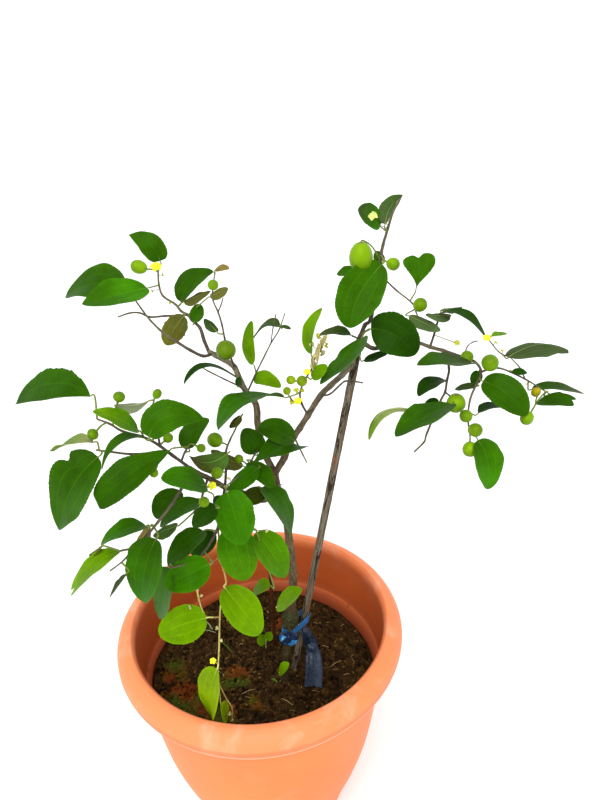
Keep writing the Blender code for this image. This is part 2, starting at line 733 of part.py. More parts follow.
middle = spray("spray_middle")
middle.sprout_from(trunk, (
    (308, 415, -12), (302, 404, -24), (300, 393, -32), (305, 380, -36), (311, 370, -38),
), 1.2, 0.8)
middle.twig(((311, 370, -38), (318, 350, -34), (326, 338, -30)), 0.8, 0.6)
middle.twig(((302, 404, -24), (294, 402, -30), (289, 396, -34)), 0.9, 0.8)
middle.leaf((311, 354), (322, 308), 12, (310, 331), reach=14, shift=2, toward="left", share=0.45)
middle.leaf((312, 378), (327, 365), 13, reach=-4, shift=-4)
middle.leaf((284, 397), (218, 430), 17, (247, 400), reach=-38, shift=-10)
middle.fruit((302, 381), 11, 12, shift=-5)
middle.fruit((291, 380), 9)
middle.fruit((287, 391), 8, shift=-6)
middle.flower((297, 400), 11, shift=-8)
middle.flower((306, 372), 8, shift=-6)

# The side limb's twigs: one up, one down, one with most of the fruit, and the far end

side_up = spray("spray_side_up")
side_up.sprout_from(trunk, (
    (430, 347, -14), (434, 335, -8), (437, 324, -4), (441, 315, -1), (450, 315, 0),
), 1.2, 0.8)
side_up.leaf((450, 316), (427, 316), 9, reach=-12, shift=-2, face="under")
side_up.leaf((441, 313), (486, 339), 8, (466, 316), reach=-18, shift=-2, share=0.36)
side_up.leaf((442, 311), (462, 307), 6, reach=10, shift=2, face="under")
side_up.flower((457, 343), 7, shift=-2)

side_down = spray("spray_side_down")
side_down.sprout_from(trunk, (
    (445, 351, -17), (449, 368, -26), (447, 380, -32), (445, 392, -38), (440, 402, -42),
    (427, 433, -50), (424, 442, -52), (414, 452, -54),
), 1.3, 0.9)
side_down.twig(((445, 392, -38), (450, 396, -42), (455, 400, -45)), 0.9, 0.7)
side_down.leaf((451, 404), (395, 436), 24, (423, 418), reach=-24, shift=-12)
side_down.leaf((412, 410), (369, 440), 7, (382, 413), reach=-16, shift=8, face="under", share=0.32)
side_down.leaf((445, 380), (418, 396), 14, (430, 384), reach=-12, shift=-2)
side_down.leaf((439, 402), (425, 403), 9, reach=8, shift=5)
side_down.fruit((456, 403), 19, shift=-2)
side_down.fruit((416, 408), 9, shift=2)

fruiting = spray("spray_fruiting")
fruiting.sprout_from(trunk, (
    (445, 351, -17), (462, 357, -24), (475, 362, -30), (481, 372, -36), (475, 387, -44),
    (470, 400, -50), (468, 418, -56), (470, 436, -60),
), 1.5, 0.8, stub=10)
fruiting.twig(((481, 372, -36), (490, 369, -40), (498, 368, -44), (506, 370, -45)), 1.1, 0.9)
fruiting.twig(((464, 358, -25), (467, 347, -27), (473, 342, -28), (478, 341, -29)), 0.6, 0.6)
fruiting.leaf((473, 363), (417, 365), 14, (445, 362), reach=-14, shift=-10)
fruiting.leaf((483, 381), (527, 415), 32, (507, 394), reach=-20, shift=-6)
fruiting.leaf((479, 371), (473, 385), 12, reach=-4, shift=8)
fruiting.leaf((477, 386), (455, 389), 7, reach=8, shift=2)
fruiting.leaf((478, 440), (489, 489), 28, (488, 463), reach=-10, shift=-4)
fruiting.leaf((478, 413), (509, 408), 8, (492, 407), reach=10)
fruiting.fruit((467, 357), 13, 10, shift=-6)
fruiting.fruit((490, 363), 17, 19, shift=-10)
fruiting.fruit((466, 416), 13, shift=-5)
fruiting.fruit((475, 430), 14, 16, shift=-6)
fruiting.fruit((470, 449), 15, shift=-4)

far_end = spray("spray_far_end")
far_end.sprout_from(fruiting, (
    (506, 370, -45), (525, 379, -48), (540, 388, -47), (551, 395, -46),
), 0.9, 0.6, stub=0)
far_end.twig(((525, 379, -48), (520, 368, -42), (511, 358, -38)), 0.7, 0.6)
far_end.twig(((511, 358, -38), (499, 352, -34), (489, 340, -30)), 0.6, 0.6)
far_end.leaf((509, 357), (568, 350), 13, (540, 347), reach=14, face="under")
far_end.leaf((512, 371), (527, 373), 7, reach=-6, shift=-4)
far_end.leaf((532, 389), (584, 394), 8, (557, 388), reach=8, shift=4, share=0.36)
far_end.leaf((546, 396), (576, 399), 7, reach=-10)
far_end.leaf((538, 402), (574, 405), 14, (556, 401), reach=-20, shift=-8)
far_end.leaf((492, 336), (506, 333), 5, reach=6)
far_end.fruit((527, 418), 13, 15, shift=-14)
far_end.fruit((536, 392), 9, 11, shift=-3)
far_end.flower((487, 338), 9, shift=0)

# The two ends of the left limb

left_top = spray("spray_left_top")
left_top.sprout_from(trunk, (
    (209, 352, -2), (204, 340, 4), (200, 328, 10), (192, 320, 16), (188, 315, 20), (181, 311, 24),
    (175, 304, 28), (163, 296, 34), (159, 285, 40), (158, 272, 44),
), 1.9, 0.9)
left_top.twig((
    (188, 315, 20), (165, 316, 22), (150, 317, 22), (140, 313, 22), (130, 313, 22), (118, 317, 22),
), 1.1, 0.8)
left_top.leaf((160, 261), (129, 235), 24, (149, 244), reach=6, shift=2)
left_top.leaf((147, 288), (82, 304), 27, (115, 295), reach=-24, shift=-20)
left_top.leaf((181, 302), (213, 271), 19, (191, 283), reach=14, shift=4, fold=18)
left_top.leaf((184, 302), (210, 292), 9, (196, 297), reach=-10, shift=-2, face="under")
left_top.leaf((210, 297), (228, 289), 10, reach=-4, shift=-12, face="under")
left_top.leaf((194, 322), (200, 304), 14, reach=10, shift=-6)
left_top.leaf((184, 316), (166, 345), 23, (174, 330), reach=-16, shift=-4, rise=0.16, face="under")
left_top.fruit((139, 267), 14, 17, shift=-4)
left_top.flower((156, 267), 12, shift=-8)

left_low = spray("spray_left_low")
left_low.sprout_from(trunk, (
    (212, 354, -4), (203, 356, -12), (190, 350, -14), (177, 342, -12), (168, 336, -8), (160, 330, -2),
    (150, 320, 5), (143, 311, 11), (133, 297, 18),
), 1.7, 0.8)
left_low.leaf((122, 292), (66, 296), 31, (95, 283), reach=20, shift=6)

left_inner = spray("spray_left_inner")
left_inner.sprout_from(trunk, (
    (235, 368, -14), (229, 353, -26), (225, 340, -32), (222, 325, -36), (218, 312, -38),
    (213, 300, -40), (213, 286, -36), (215, 273, -32),
), 1.1, 0.6)
left_inner.twig(((218, 312, -38), (221, 305, -37), (223, 298, -36)), 0.6, 0.6)
left_inner.leaf((217, 332), (204, 319), 9, reach=6, face="under")
left_inner.leaf((215, 271), (229, 269), 6, (221, 267), reach=-4, shift=-2, face="under")
left_inner.fruit((226, 350), 20, shift=-13)
left_inner.fruit((213, 285), 11, shift=-4)

left_back = spray("spray_left_back")
left_back.sprout_from(trunk, (
    (247, 393, -20), (252, 382, -8), (256, 373, -2), (264, 357, 4), (271, 343, 10), (279, 330, 16),
    (285, 313, 22),
), 1.0, 0.6, stub=9)
left_back.twig(((271, 343, 10), (273, 328, 7), (276, 314, 5)), 0.6, 0.6)
left_back.leaf((253, 364), (252, 321), 12, (247, 343), reach=10, shift=-4, toward="right", share=0.4)
left_back.leaf((280, 327), (254, 338), 6, (267, 325), reach=12, shift=4)
left_back.leaf((281, 326), (291, 329), 4, reach=-4, shift=-2)
left_back.leaf((254, 380), (281, 387), 15, (266, 379), reach=-2, shift=2)

left_down = spray("spray_left_down")
left_down.sprout_from(trunk, (
    (251, 397, -21), (240, 387, -36), (224, 379, -44), (208, 371, -50), (203, 368, -52),
), 0.9, 0.6)
left_down.leaf((236, 377), (184, 384), 5, (205, 366), reach=-30, shift=8, toward="left", share=0.2)
left_down.leaf((238, 386), (240, 377), 7, reach=-4, shift=-4)

# Leaves about the fork of the trunk

trunk_fork = spray("spray_trunk_fork")
trunk_fork.sprout_from(trunk, (
    (294, 436, -22), (297, 443, -34), (303, 455, -44), (307, 463, -48),
), 1.1, 0.6, stub=6)
trunk_fork.leaf((294, 440), (258, 428), 25, (277, 431), reach=-10, shift=-14)
trunk_fork.leaf((299, 446), (253, 463), 22, (280, 448), reach=-32, shift=-10)

trunk_left = spray("spray_trunk_left")
trunk_left.sprout_from(trunk, (
    (262, 446, -26), (256, 452, -44), (250, 463, -56), (243, 470, -62), (235, 477, -68),
), 1.1, 0.7)
trunk_left.twig(((250, 463, -56), (243, 472, -80), (234, 480, -98), (226, 486, -107)), 0.8, 0.7)
trunk_left.leaf((257, 453), (243, 429), 25, (252, 442), reach=6, shift=6)
trunk_left.leaf((253, 463), (273, 486), 13, reach=-16, shift=-10)
trunk_left.leaf((250, 470), (228, 491), 12, reach=-28, shift=-18, share=0.36)
trunk_left.leaf((241, 464), (211, 453), 10, reach=-8, shift=-2, face="under")
trunk_left.leaf((227, 492), (242, 545), 40, (235, 516), reach=-12, shift=-10)
trunk_left.fruit((239, 459), 9, 10, shift=-6)
trunk_left.flower((212, 486), 10, shift=-4)

# The front limb's sprays, which crowd together over the pot's left half

canopy_rise = spray("spray_canopy_rise")
canopy_rise.sprout_from(trunk, (
    (225, 487, -92), (226, 470, -84), (226, 452, -78), (230, 440, -72), (235, 430, -68),
    (241, 417, -66),
), 1.3, 0.7)
canopy_rise.leaf((227, 454), (190, 457), 20, (208, 463), reach=-22, shift=-6, face="under")
canopy_rise.leaf((241, 416), (230, 428), 8, reach=-8, shift=-4, face="under")
canopy_rise.fruit((217, 473), 12, shift=-18)
canopy_rise.fruit((215, 440), 15, shift=-2)

canopy_top = spray("spray_canopy_top")
canopy_top.sprout_from(trunk, (
    (190, 468, -120), (172, 455, -127), (160, 446, -131), (150, 440, -134), (140, 436, -136),
    (122, 431, -139), (110, 424, -141), (97, 419, -142),
), 1.4, 0.8)
canopy_top.twig(((160, 446, -131), (157, 430, -122), (152, 412, -114), (154, 400, -110)), 1.0, 0.8)
canopy_top.twig(((181, 462, -124), (185, 452, -118), (190, 444, -114)), 1.0, 0.8)
canopy_top.leaf((90, 396), (13, 405), 30, (50, 391), reach=24, fold=18)
canopy_top.leaf((138, 430), (93, 411), 17, (117, 419), reach=-6, shift=-8)
canopy_top.leaf((149, 401), (114, 405), 10, (133, 406), reach=6, face="under")
canopy_top.leaf((149, 437), (204, 419), 33, (167, 417), reach=10, shift=-16)
canopy_top.leaf((189, 449), (209, 419), 20, (192, 433), reach=16, shift=4)
canopy_top.leaf((149, 439), (102, 470), 9, (119, 441), reach=-20, shift=-14, share=0.34)
canopy_top.leaf((170, 450), (97, 503), 33, (131, 474), reach=-24, shift=-32)
canopy_top.fruit((119, 397), 12, 11, hang=(112, 425))
canopy_top.fruit((157, 394), 9, 11)
canopy_top.fruit((93, 434), 12, 10, hang=(107, 424))
canopy_top.fruit((168, 438), 10, shift=8, hang=(160, 446))
canopy_top.fruit((201, 448), 9, shift=-6)
canopy_top.fruit((154, 473), 9, shift=-32, hang=(168, 452))

canopy_left = spray("spray_canopy_left")
canopy_left.sprout_from(canopy_top, (
    (166, 451, -129), (150, 453, -134), (130, 454, -138), (112, 452, -141), (96, 450, -144),
), 1.1, 0.8)
canopy_left.leaf((93, 442), (54, 451), 7, (71, 443), reach=10)
canopy_left.leaf((98, 457), (59, 530), 45, (71, 489), reach=-6, shift=-6)

canopy_inner = spray("spray_canopy_inner")
canopy_inner.sprout_from(trunk, (
    (208, 478, -109), (204, 490, -124), (200, 502, -132), (194, 512, -140),
), 1.2, 0.8)
canopy_inner.leaf((205, 484), (163, 487), 17, (185, 481), reach=-16, shift=-26)
canopy_inner.leaf((183, 498), (157, 519), 22, (165, 501), reach=-6, shift=8)
canopy_inner.leaf((196, 505), (160, 524), 12, (180, 508), reach=-10, shift=-8)
canopy_inner.leaf((214, 511), (194, 527), 16, (205, 517), reach=-12, shift=-14)
canopy_inner.leaf((177, 526), (153, 536), 12, reach=2, shift=8, face="under")
canopy_inner.fruit((204, 502), 11, shift=-16)

low_left = spray("spray_low_left")
low_left.sprout_from(trunk, (
    (190, 468, -120), (184, 484, -140), (172, 504, -152), (158, 522, -160), (148, 534, -166),
    (134, 547, -172), (120, 551, -176),
), 1.5, 0.8)
low_left.twig(((134, 547, -172), (124, 560, -178), (110, 571, -182)), 0.8, 0.6)
low_left.leaf((156, 539), (142, 601), 37, (145, 569), reach=-6, shift=-14)
low_left.leaf((146, 526), (101, 544), 17, (123, 530), reach=-8, shift=-16)
low_left.leaf((150, 527), (135, 549), 12, reach=-2, shift=8, face="under")
low_left.leaf((120, 551), (70, 595), 16, (93, 567), reach=-6, toward="left", share=0.36)
low_left.leaf((126, 574), (110, 597), 4, reach=-6, shift=-3, toward="left")
low_left.leaf((102, 547), (89, 555), 5, reach=4, shift=2, face="under")

low_middle = spray("spray_low_middle")
low_middle.sprout_from(trunk, (
    (225, 487, -92), (222, 505, -98), (218, 527, -106), (212, 540, -118), (204, 552, -132),
    (196, 559, -142), (182, 565, -150), (170, 568, -154),
), 1.4, 0.8)
low_middle.leaf((204, 531), (168, 566), 23, (185, 545), reach=-16, shift=-18)
low_middle.leaf((214, 532), (192, 555), 22, reach=-4, shift=12)
low_middle.leaf((209, 564), (165, 586), 34, reach=-12, shift=-12)
low_middle.leaf((170, 568), (158, 616), 23, (165, 591), reach=8, shift=6)

low_front = spray("spray_low_front")
low_front.sprout_from(trunk, (
    (240, 492, -75), (236, 502, -92), (234, 514, -104), (236, 522, -110), (244, 528, -112),
    (256, 530, -110),
), 1.3, 0.8)
low_front.leaf((231, 526), (246, 580), 40, (238, 553), reach=-8, shift=2)
low_front.leaf((257, 532), (287, 575), 31, reach=-6, shift=8)
low_front.leaf((270, 585), (253, 594), 12, (261, 587), reach=6, shift=12)

trunk_front = spray("spray_trunk_front")
trunk_front.sprout_from(trunk, ((270, 498, -40), (268, 493, -56), (266, 490, -66)), 1.1, 0.8, stub=10)
trunk_front.leaf((261, 488), (290, 538), 20, (282, 509), reach=-6, shift=-4, toward="right")
trunk_front.leaf((262, 491), (246, 503), 13, reach=-10, shift=-12)

hanging = spray("spray_hanging", YOUNG_FOLIAGE)
hanging.sprout_from(low_middle, (
    (218, 527, -106), (219, 543, -102), (219, 558, -104), (223, 568, -107), (226, 580, -111),
    (225, 590, -115), (222, 600, -118), (220, 612, -119), (219, 650, -116), (218, 672, -114),
    (219, 690, -112), (221, 704, -110),
), 1.0, 0.7)
hanging.twig(((219, 557, -104), (212, 563, -108), (207, 569, -110)), 0.7, 0.6)
hanging.twig((
    (220, 617, -119), (207, 617, -123), (203, 612, -125), (199, 600, -128), (197, 590, -131),
), 0.8, 0.7)
hanging.twig(((207, 617, -123), (193, 611, -127), (190, 607, -128)), 0.7, 0.6)
hanging.twig(((219, 684, -113), (226, 698, -110), (232, 708, -108), (232, 720, -106)), 0.7, 0.6)
hanging.leaf((206, 618), (159, 634), 37, (182, 625), reach=-12, shift=-6)
hanging.leaf((225, 588), (261, 633), 36, (243, 611), reach=-12, shift=-4)
hanging.leaf((217, 669), (211, 716), 22, (210, 694), reach=4, shift=-2, toward="left", share=0.5)
hanging.leaf((221, 704), (227, 721), 10, reach=5, toward="right")
hanging.flower((206, 570), 9, shift=0)
hanging.flower((213, 661), 7, shift=0)

# Small shoots at the foot of the trunk

graft_shoot = spray("shoot_graft", YOUNG_FOLIAGE)
graft_shoot.sprout_from(trunk, ((291, 604, -21), (284, 606, -36), (279, 607, -42)), 1.0, 0.8, stub=7)
graft_shoot.leaf((277, 607), (302, 589), 16, reach=-4, shift=-2)

foot_shoot = spray("shoot_foot", YOUNG_FOLIAGE)
foot_shoot.sprout_from(trunk, ((286, 661, -20), (281, 668, -33), (279, 673, -38)), 1.0, 0.8, stub=7)
foot_shoot.leaf((279, 673), (289, 663), 9, reach=-2)

# A seedling of its own, a hand's breadth behind the trunk

SEEDLING_RADIUS = 0.9 * MM
SEEDLING_ROOT = 12 * MM
SEEDLING_FOOT = (266, 652)
SEEDLING_TOP = (266, 639)

seedling = spray("seedling", YOUNG_FOLIAGE)
seedling_entry = sight_on_level(*SEEDLING_FOOT, POT_HEIGHT - SOIL_LEVEL)
seedling_depth = seedling_entry.y / MM
seedling_top = sight(*SEEDLING_TOP, seedling_depth)
seedling_foot = seedling_entry + (seedling_entry - seedling_top).normalized() * SEEDLING_ROOT
seedling.meshes.append(tube([seedling_foot, seedling_top], SEEDLING_RADIUS, SEEDLING_RADIUS, 6))
seedling.wood.append((SEEDLING_TOP[0], SEEDLING_TOP[1] + 3, seedling_depth))
seedling.leaf((265, 641), (257, 639), 11, reach=-2)
seedling.leaf((267, 640), (271, 632), 9, reach=2)

trunk.finish()
tape.finish()
for made in sprays:
    made.finish()

for stem, radius, sides in (
    (trunk_root, TRUNK_RADIUS, 8),
    (stake_root, STAKE_RADIUS, 10),
    (stick_root, STICK_RADIUS, 8),
    ([seedling_foot, seedling_entry], SEEDLING_RADIUS, 6),
):
    bore_soil(soil, stem, radius, sides)
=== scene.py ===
# A young jujube tree in a moulded plastic pot, tied to its stake. It carries young fruits and flowers.
# Lengths are in metres, +Z is up, the origin is the centre of the pot's flat underside, and the photograph
# is taken from -Y.

import math
import random
import bmesh
import bpy
import numpy as np
from mathutils import Matrix, Vector, noise


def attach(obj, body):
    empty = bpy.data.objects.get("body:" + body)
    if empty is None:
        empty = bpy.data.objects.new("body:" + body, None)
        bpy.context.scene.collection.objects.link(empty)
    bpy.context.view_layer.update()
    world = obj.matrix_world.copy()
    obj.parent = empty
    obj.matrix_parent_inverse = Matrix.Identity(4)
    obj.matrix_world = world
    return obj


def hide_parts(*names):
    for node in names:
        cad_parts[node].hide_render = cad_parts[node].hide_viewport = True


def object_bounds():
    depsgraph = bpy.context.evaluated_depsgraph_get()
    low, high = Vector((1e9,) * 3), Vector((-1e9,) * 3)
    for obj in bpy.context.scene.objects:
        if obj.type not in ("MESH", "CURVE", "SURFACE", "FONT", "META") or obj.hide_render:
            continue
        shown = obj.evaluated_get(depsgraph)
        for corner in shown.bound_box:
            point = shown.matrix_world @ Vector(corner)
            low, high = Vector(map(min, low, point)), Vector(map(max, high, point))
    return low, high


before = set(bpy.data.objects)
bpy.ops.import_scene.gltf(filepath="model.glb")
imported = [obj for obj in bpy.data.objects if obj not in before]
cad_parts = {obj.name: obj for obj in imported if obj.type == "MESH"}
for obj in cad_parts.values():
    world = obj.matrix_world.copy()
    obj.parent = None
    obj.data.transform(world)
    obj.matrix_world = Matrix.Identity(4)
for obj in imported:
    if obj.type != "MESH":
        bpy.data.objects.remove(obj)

cad_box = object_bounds()
MM = 0.001


# The pot is one piece of moulded terracotta-coloured plastic. Its rim is a thick roll over a narrow lip, a
# ledge runs round inside just above the soil, and six drain holes go through its floor. Damp soil has
# darkened and splashed the wall above it, and handling has dulled the rim. Painted shade darkens the inside
# of the wall, the roll's lower face and the lip and body just below the rim, and pale lines of painted
# highlight run along the lip's lower edge and along the ledge inside.

class Finish:
    """One output of a shader node. Sums and products of these and of numbers become Math nodes."""

    def __init__(self, tree, socket=None):
        self.tree = tree
        self.socket = socket

    def feed(self, node, inputs):
        for name, value in dict(inputs).items():
            socket = node.inputs[name]
            if isinstance(value, Finish):
                self.tree.links.new(value.socket, socket)
            else:
                socket.default_value = (*value[:3], 1) if socket.type == "RGBA" else value

    def node(self, kind, settings=(), inputs=(), output=0):
        """Any node: its settings are set first, then the values or links of its sockets."""
        made = self.tree.nodes.new("ShaderNode" + kind)
        for name, value in dict(settings).items():
            setattr(made, name, value)
        self.feed(made, inputs)
        return Finish(self.tree, made.outputs[output])

    def math(self, operation, *values):
        return self.node("Math", {"operation": operation}, enumerate(values))

    def __add__(self, other):
        return self.math("ADD", self, other)

    def __mul__(self, other):
        return self.math("MULTIPLY", self, other)

    def __sub__(self, other):
        return self.math("SUBTRACT", self, other)

    def __rsub__(self, other):
        return self.math("SUBTRACT", other, self)

    def __abs__(self):
        return self.math("ABSOLUTE", self)

    __radd__ = __add__
    __rmul__ = __mul__

    def rises(self, low, high):
        """0 below `low`, 1 above `high` and smooth between, or falling where `high` is the lower."""
        if high < low:
            return 1 - self.rises(high, low)
        settings = {"interpolation_type": "SMOOTHSTEP"}
        return self.node("MapRange", settings, {"Value": self, "From Min": low, "From Max": high})

    def mix(self, a, b):
        """Colour a where this is 0, and b where it is 1."""
        return self.node("Mix", {"data_type": "RGBA"}, {0: self, 6: a, 7: b}, output=2)

    def vector(self, operation, name, value, output=0):
        return self.node("VectorMath", {"operation": operation}, {0: self, name: value}, output)

    def scaled(self, factor):
        """This colour or vector, times a number."""
        return self.vector("SCALE", "Scale", factor)

    def stretched(self, *factors):
        """This vector, times one number for each axis."""
        return self.vector("MULTIPLY", 1, factors)

    def axis(self, index):
        return self.node("SeparateXYZ", (), {0: self}, index)

    def grain(self, scale, detail=3.0, roughness=0.5, distortion=0.0):
        """Noise over this vector, from 0 to 1."""
        return self.node("TexNoise", (), {"Vector": self, "Scale": scale, "Detail": detail,
                                          "Roughness": roughness, "Distortion": distortion})

    def cells(self, scale, feature="F1"):
        """The distance to the nearest of many scattered points, or to the borders between them."""
        return self.node("TexVoronoi", {"feature": feature}, {"Vector": self, "Scale": scale})

    def bump(self, strength, distance):
        return self.node("Bump", (), {"Strength": strength, "Distance": distance, "Height": self})


class Skin(Finish):
    """A material, the place in space, and the maker of the material's nodes."""

    def __init__(self, name):
        self.material = bpy.data.materials.new(name)
        self.material.use_nodes = True
        super().__init__(self.material.node_tree)
        self.place = self.node("TexCoord", output=3)

    def own(self, name, output=0):
        """What each point of the mesh has under this name."""
        return self.node("Attribute", {"attribute_name": name}, output=output)

    def worn(self, colour, roughness, **others):
        """The material, with its colour, its roughness and other sockets, named with _ for a space."""
        sockets = {name.replace("_", " "): value for name, value in others.items()}
        sockets.update({"Base Color": colour, "Roughness": roughness})
        self.feed(self.tree.nodes["Principled BSDF"], sockets)
        return self.material


RIM_TOP = 255 * MM
POT_OUTSIDE = (                 # radius, and distance below the rim's top, in millimetres
    (131, 4), (134, 0), (139, 0.6), (145, 5), (149, 11.5), (150, 19), (147.5, 27),
    (142, 32.5), (136.5, 35), (136.2, 39), (133.2, 41), (128.6, 70), (123, 110),
    (116.5, 150), (106, 190), (94, 225), (88, 246), (84, 255),
)
POT_INSIDE = ((80, 250), (91, 225), (103, 190), (119.5, 110), (123.5, 74), (128, 68), (130, 36))
POT_CREASES = ((84, 255), (136.5, 35), (136.2, 39), (133.2, 41), (123.5, 74), (128, 68), (80, 250))
POT_SEGMENTS = 160
POT_STEPS = 4                   # points between two of the outline's
DRAIN_RADIUS = 5 * MM
DRAIN_CIRCLE = 55 * MM
DRAIN_COUNT = 6
DRILL_HALF = 10 * MM
DRILL_SIDES = 24
RIM_FOOT = RIM_TOP - 33 * MM
# The height of the lip's lower edge, where a pale line of painted highlight runs
LIP_HIGHLIGHT_LINE = RIM_TOP - 25.2 * MM
LEDGE = RIM_TOP - 69 * MM
FLOOR_FACE = (4 * MM, 8 * MM)   # heights between which the wall's inner side begins
# Heights over which the painted shade inside the wall thins towards the rim's top
INNER_SHADE = (238 * MM, 254 * MM)
DAMP_LINE = (232 * MM, 190 * MM)
SPLASH_LINE = (215 * MM, 186 * MM)
TERRACOTTA = (0.80, 0.184, 0.036)
DULL_TERRACOTTA = (0.72, 0.168, 0.040)
RIM_TERRACOTTA = (0.78, 0.218, 0.075)
# Pale dust and scuffs on the rim; the same colour makes the painted highlight along the lip's lower edge
DUST_AND_HIGHLIGHT_TERRACOTTA = (0.86, 0.44, 0.30)
# Painted shade on the roll's lower face and on the lip and body just below the rim
PAINTED_SHADE_TERRACOTTA = (0.46, 0.110, 0.030)
# Painted shade inside the pot
SHADED_INNER_TERRACOTTA = (0.36, 0.058, 0.009)
DAMP_TERRACOTTA = (0.14, 0.026, 0.006)
SOIL_SPLASH = (0.040, 0.018, 0.008)


def curved(points, steps, creases=()):
    """Points along a smooth curve through the given ones, which turns sharply at a crease."""
    places = [Vector(p) for p in points]
    fine = []
    for i, (b, c) in enumerate(zip(places, places[1:])):
        a = places[i - 1] if i > 0 and tuple(points[i]) not in creases else b * 2 - c
        smooth_end = i + 2 < len(places) and tuple(points[i + 1]) not in creases
        d = places[i + 2] if smooth_end else c * 2 - b
        for t in (k / steps for k in range(steps)):
            fine.append((b * 2 + (c - a) * t + (a * 2 - b * 5 + c * 4 - d) * t ** 2
                         + (b * 3 - a - c * 3 + d) * t ** 3) / 2)
    return fine + [places[-1]]


def ring(radius, count, height=0.0):
    """Places round the Z axis."""
    angles = [2 * math.pi * k / count for k in range(count)]
    return [(radius * math.cos(angle), radius * math.sin(angle), height) for angle in angles]


def ring_faces(rings, sides):
    """The faces between rings of points."""
    faces = []
    for i in range(rings - 1):
        for k in range(sides):
            a = i * sides + k
            b = i * sides + (k + 1) % sides
            faces.append((a, b, b + sides, a + sides))
    return faces


def capped(rings, sides):
    """The faces between rings of points, with both ends closed."""
    ends = [tuple(reversed(range(sides))), tuple(range((rings - 1) * sides, rings * sides))]
    return ends + ring_faces(rings, sides)


def new_mesh(name, points, faces):
    made = bpy.data.meshes.new(name)
    made.from_pydata(points, [], faces)
    return made


def add_object(name, data):
    made = bpy.data.objects.new(name, data)
    bpy.context.scene.collection.objects.link(made)
    return made


def add_piece(name, mesh, surface, node, smooth_angle=60):
    """Puts a finished mesh in the scene as a piece of the part."""
    piece = add_object(name, mesh)
    mesh.materials.clear()
    mesh.materials.append(surface)
    mesh.shade_smooth()
    mesh.set_sharp_from_angle(angle=math.radians(smooth_angle))
    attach(piece, "root")
    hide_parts(node)


def pot_mesh():
    """The pot from its foot up the outside, over the rim and down the inside, with its holes drilled."""
    widest = max(radius for radius, below in POT_OUTSIDE)
    outline = curved((*POT_INSIDE, POT_OUTSIDE[0]), POT_STEPS, POT_CREASES)[:-1]
    outline += curved(POT_OUTSIDE, POT_STEPS, POT_CREASES)
    points = []
    for radius, below in reversed(outline):
        points += ring(min(radius, widest) * MM, POT_SEGMENTS, RIM_TOP - max(below, 0) * MM)
    wall = add_object("wall", new_mesh("pot_wall", points, capped(len(outline), POT_SEGMENTS)))
    used = [wall]
    for at in ring(DRAIN_CIRCLE, DRAIN_COUNT):
        bit = [Vector(at) + Vector(spot) for z in (-DRILL_HALF, DRILL_HALF)
               for spot in ring(DRAIN_RADIUS, DRILL_SIDES, z)]
        drill = add_object("drill", new_mesh("drill", bit, capped(2, DRILL_SIDES)))
        hole = wall.modifiers.new("hole", "BOOLEAN")
        hole.operation = "DIFFERENCE"
        hole.object = drill
        used.append(drill)
    bpy.context.view_layer.update()
    made = bpy.data.meshes.new_from_object(wall.evaluated_get(bpy.context.evaluated_depsgraph_get()))
    for tool in used:
        bpy.data.objects.remove(tool, do_unlink=True)
    return made


def pot_plastic():
    skin = Skin("pot_plastic")
    place = skin.place
    height = place.axis(2)
    broad = place.grain(9, 3)
    fine = place.grain(160, 4, 0.6)
    scuff = place.stretched(1, 1, 5).grain(44, 5, 0.7, 0.6).rises(0.56, 0.72)
    dust = place.grain(26, 4, 0.65, 0.4).rises(0.50, 0.70)
    facing = skin.node("TexCoord", output=1).vector("DOT_PRODUCT", 1, place.stretched(1, 1, 0), output=1)
    inner = facing.rises(-0.01, -0.03) * height.rises(*FLOOR_FACE)
    outer = 1 - inner
    rim = height.rises(RIM_FOOT, RIM_FOOT + 3 * MM)
    colour = broad.rises(0.35, 0.7).mix(TERRACOTTA, DULL_TERRACOTTA)
    colour = rim.mix(colour, RIM_TERRACOTTA)
    colour = (dust * (0.10 + 0.26 * rim) + scuff * 0.14).mix(colour, DUST_AND_HIGHLIGHT_TERRACOTTA)
    # Painted shade: a band over the roll's lower face, and one on the lip and body just below the rim that
    # fades downwards
    roll_shade = abs(height - LIP_HIGHLIGHT_LINE - 5.5 * MM).rises(5.0 * MM, 1.5 * MM) * outer
    under_rim_shade = height.rises(RIM_FOOT - 30 * MM, RIM_FOOT - 8 * MM) * (1 - rim) * outer
    colour = (roll_shade * 0.50 + under_rim_shade * 0.30).mix(colour, PAINTED_SHADE_TERRACOTTA)
    # A pale line of painted highlight along the lip's lower edge
    worn = abs(height - LIP_HIGHLIGHT_LINE).rises(1.6 * MM, 0.5 * MM) * outer
    colour = (worn * 0.70).mix(colour, DUST_AND_HIGHLIGHT_TERRACOTTA)
    # Painted shade over the inside of the wall, thinning near the rim's top
    colour = (inner * (0.86 - 0.5 * height.rises(*INNER_SHADE))).mix(colour, SHADED_INNER_TERRACOTTA)
    # A faint line of painted highlight along the ledge inside, lifting the painted shade there
    ledge = abs(height - LEDGE).rises(2.2 * MM, 0.6 * MM) * inner
    colour = (ledge * 0.35).mix(colour, TERRACOTTA)
    damp = inner * (height + broad * (40 * MM)).rises(*DAMP_LINE)
    colour = (damp * 0.50).mix(colour, DAMP_TERRACOTTA)
    splash = (place.cells(52) + 0.2 * fine).rises(0.26, 0.16) * inner
    splash = splash * (height + fine * (30 * MM)).rises(*SPLASH_LINE)
    colour = (splash * 0.55).mix(colour, SOIL_SPLASH)
    skin_relief = fine * 0.6 + place.grain(900, 2) * 0.4 + scuff * 0.5
    return skin.worn(colour, 0.42 + 0.16 * broad + 0.16 * scuff + 0.10 * dust + 0.2 * damp,
                     Normal=skin_relief.bump(0.12, 0.0006), Specular_IOR_Level=0.35)


add_piece("pot_wall", pot_mesh(), pot_plastic(), "pot", 50)


# The potting soil is a dark damp crumb of peat and bark that fills the pot to well below its rim. Clods, grit
# and straws lie loose on it, with red-brown and green moss at the front left.

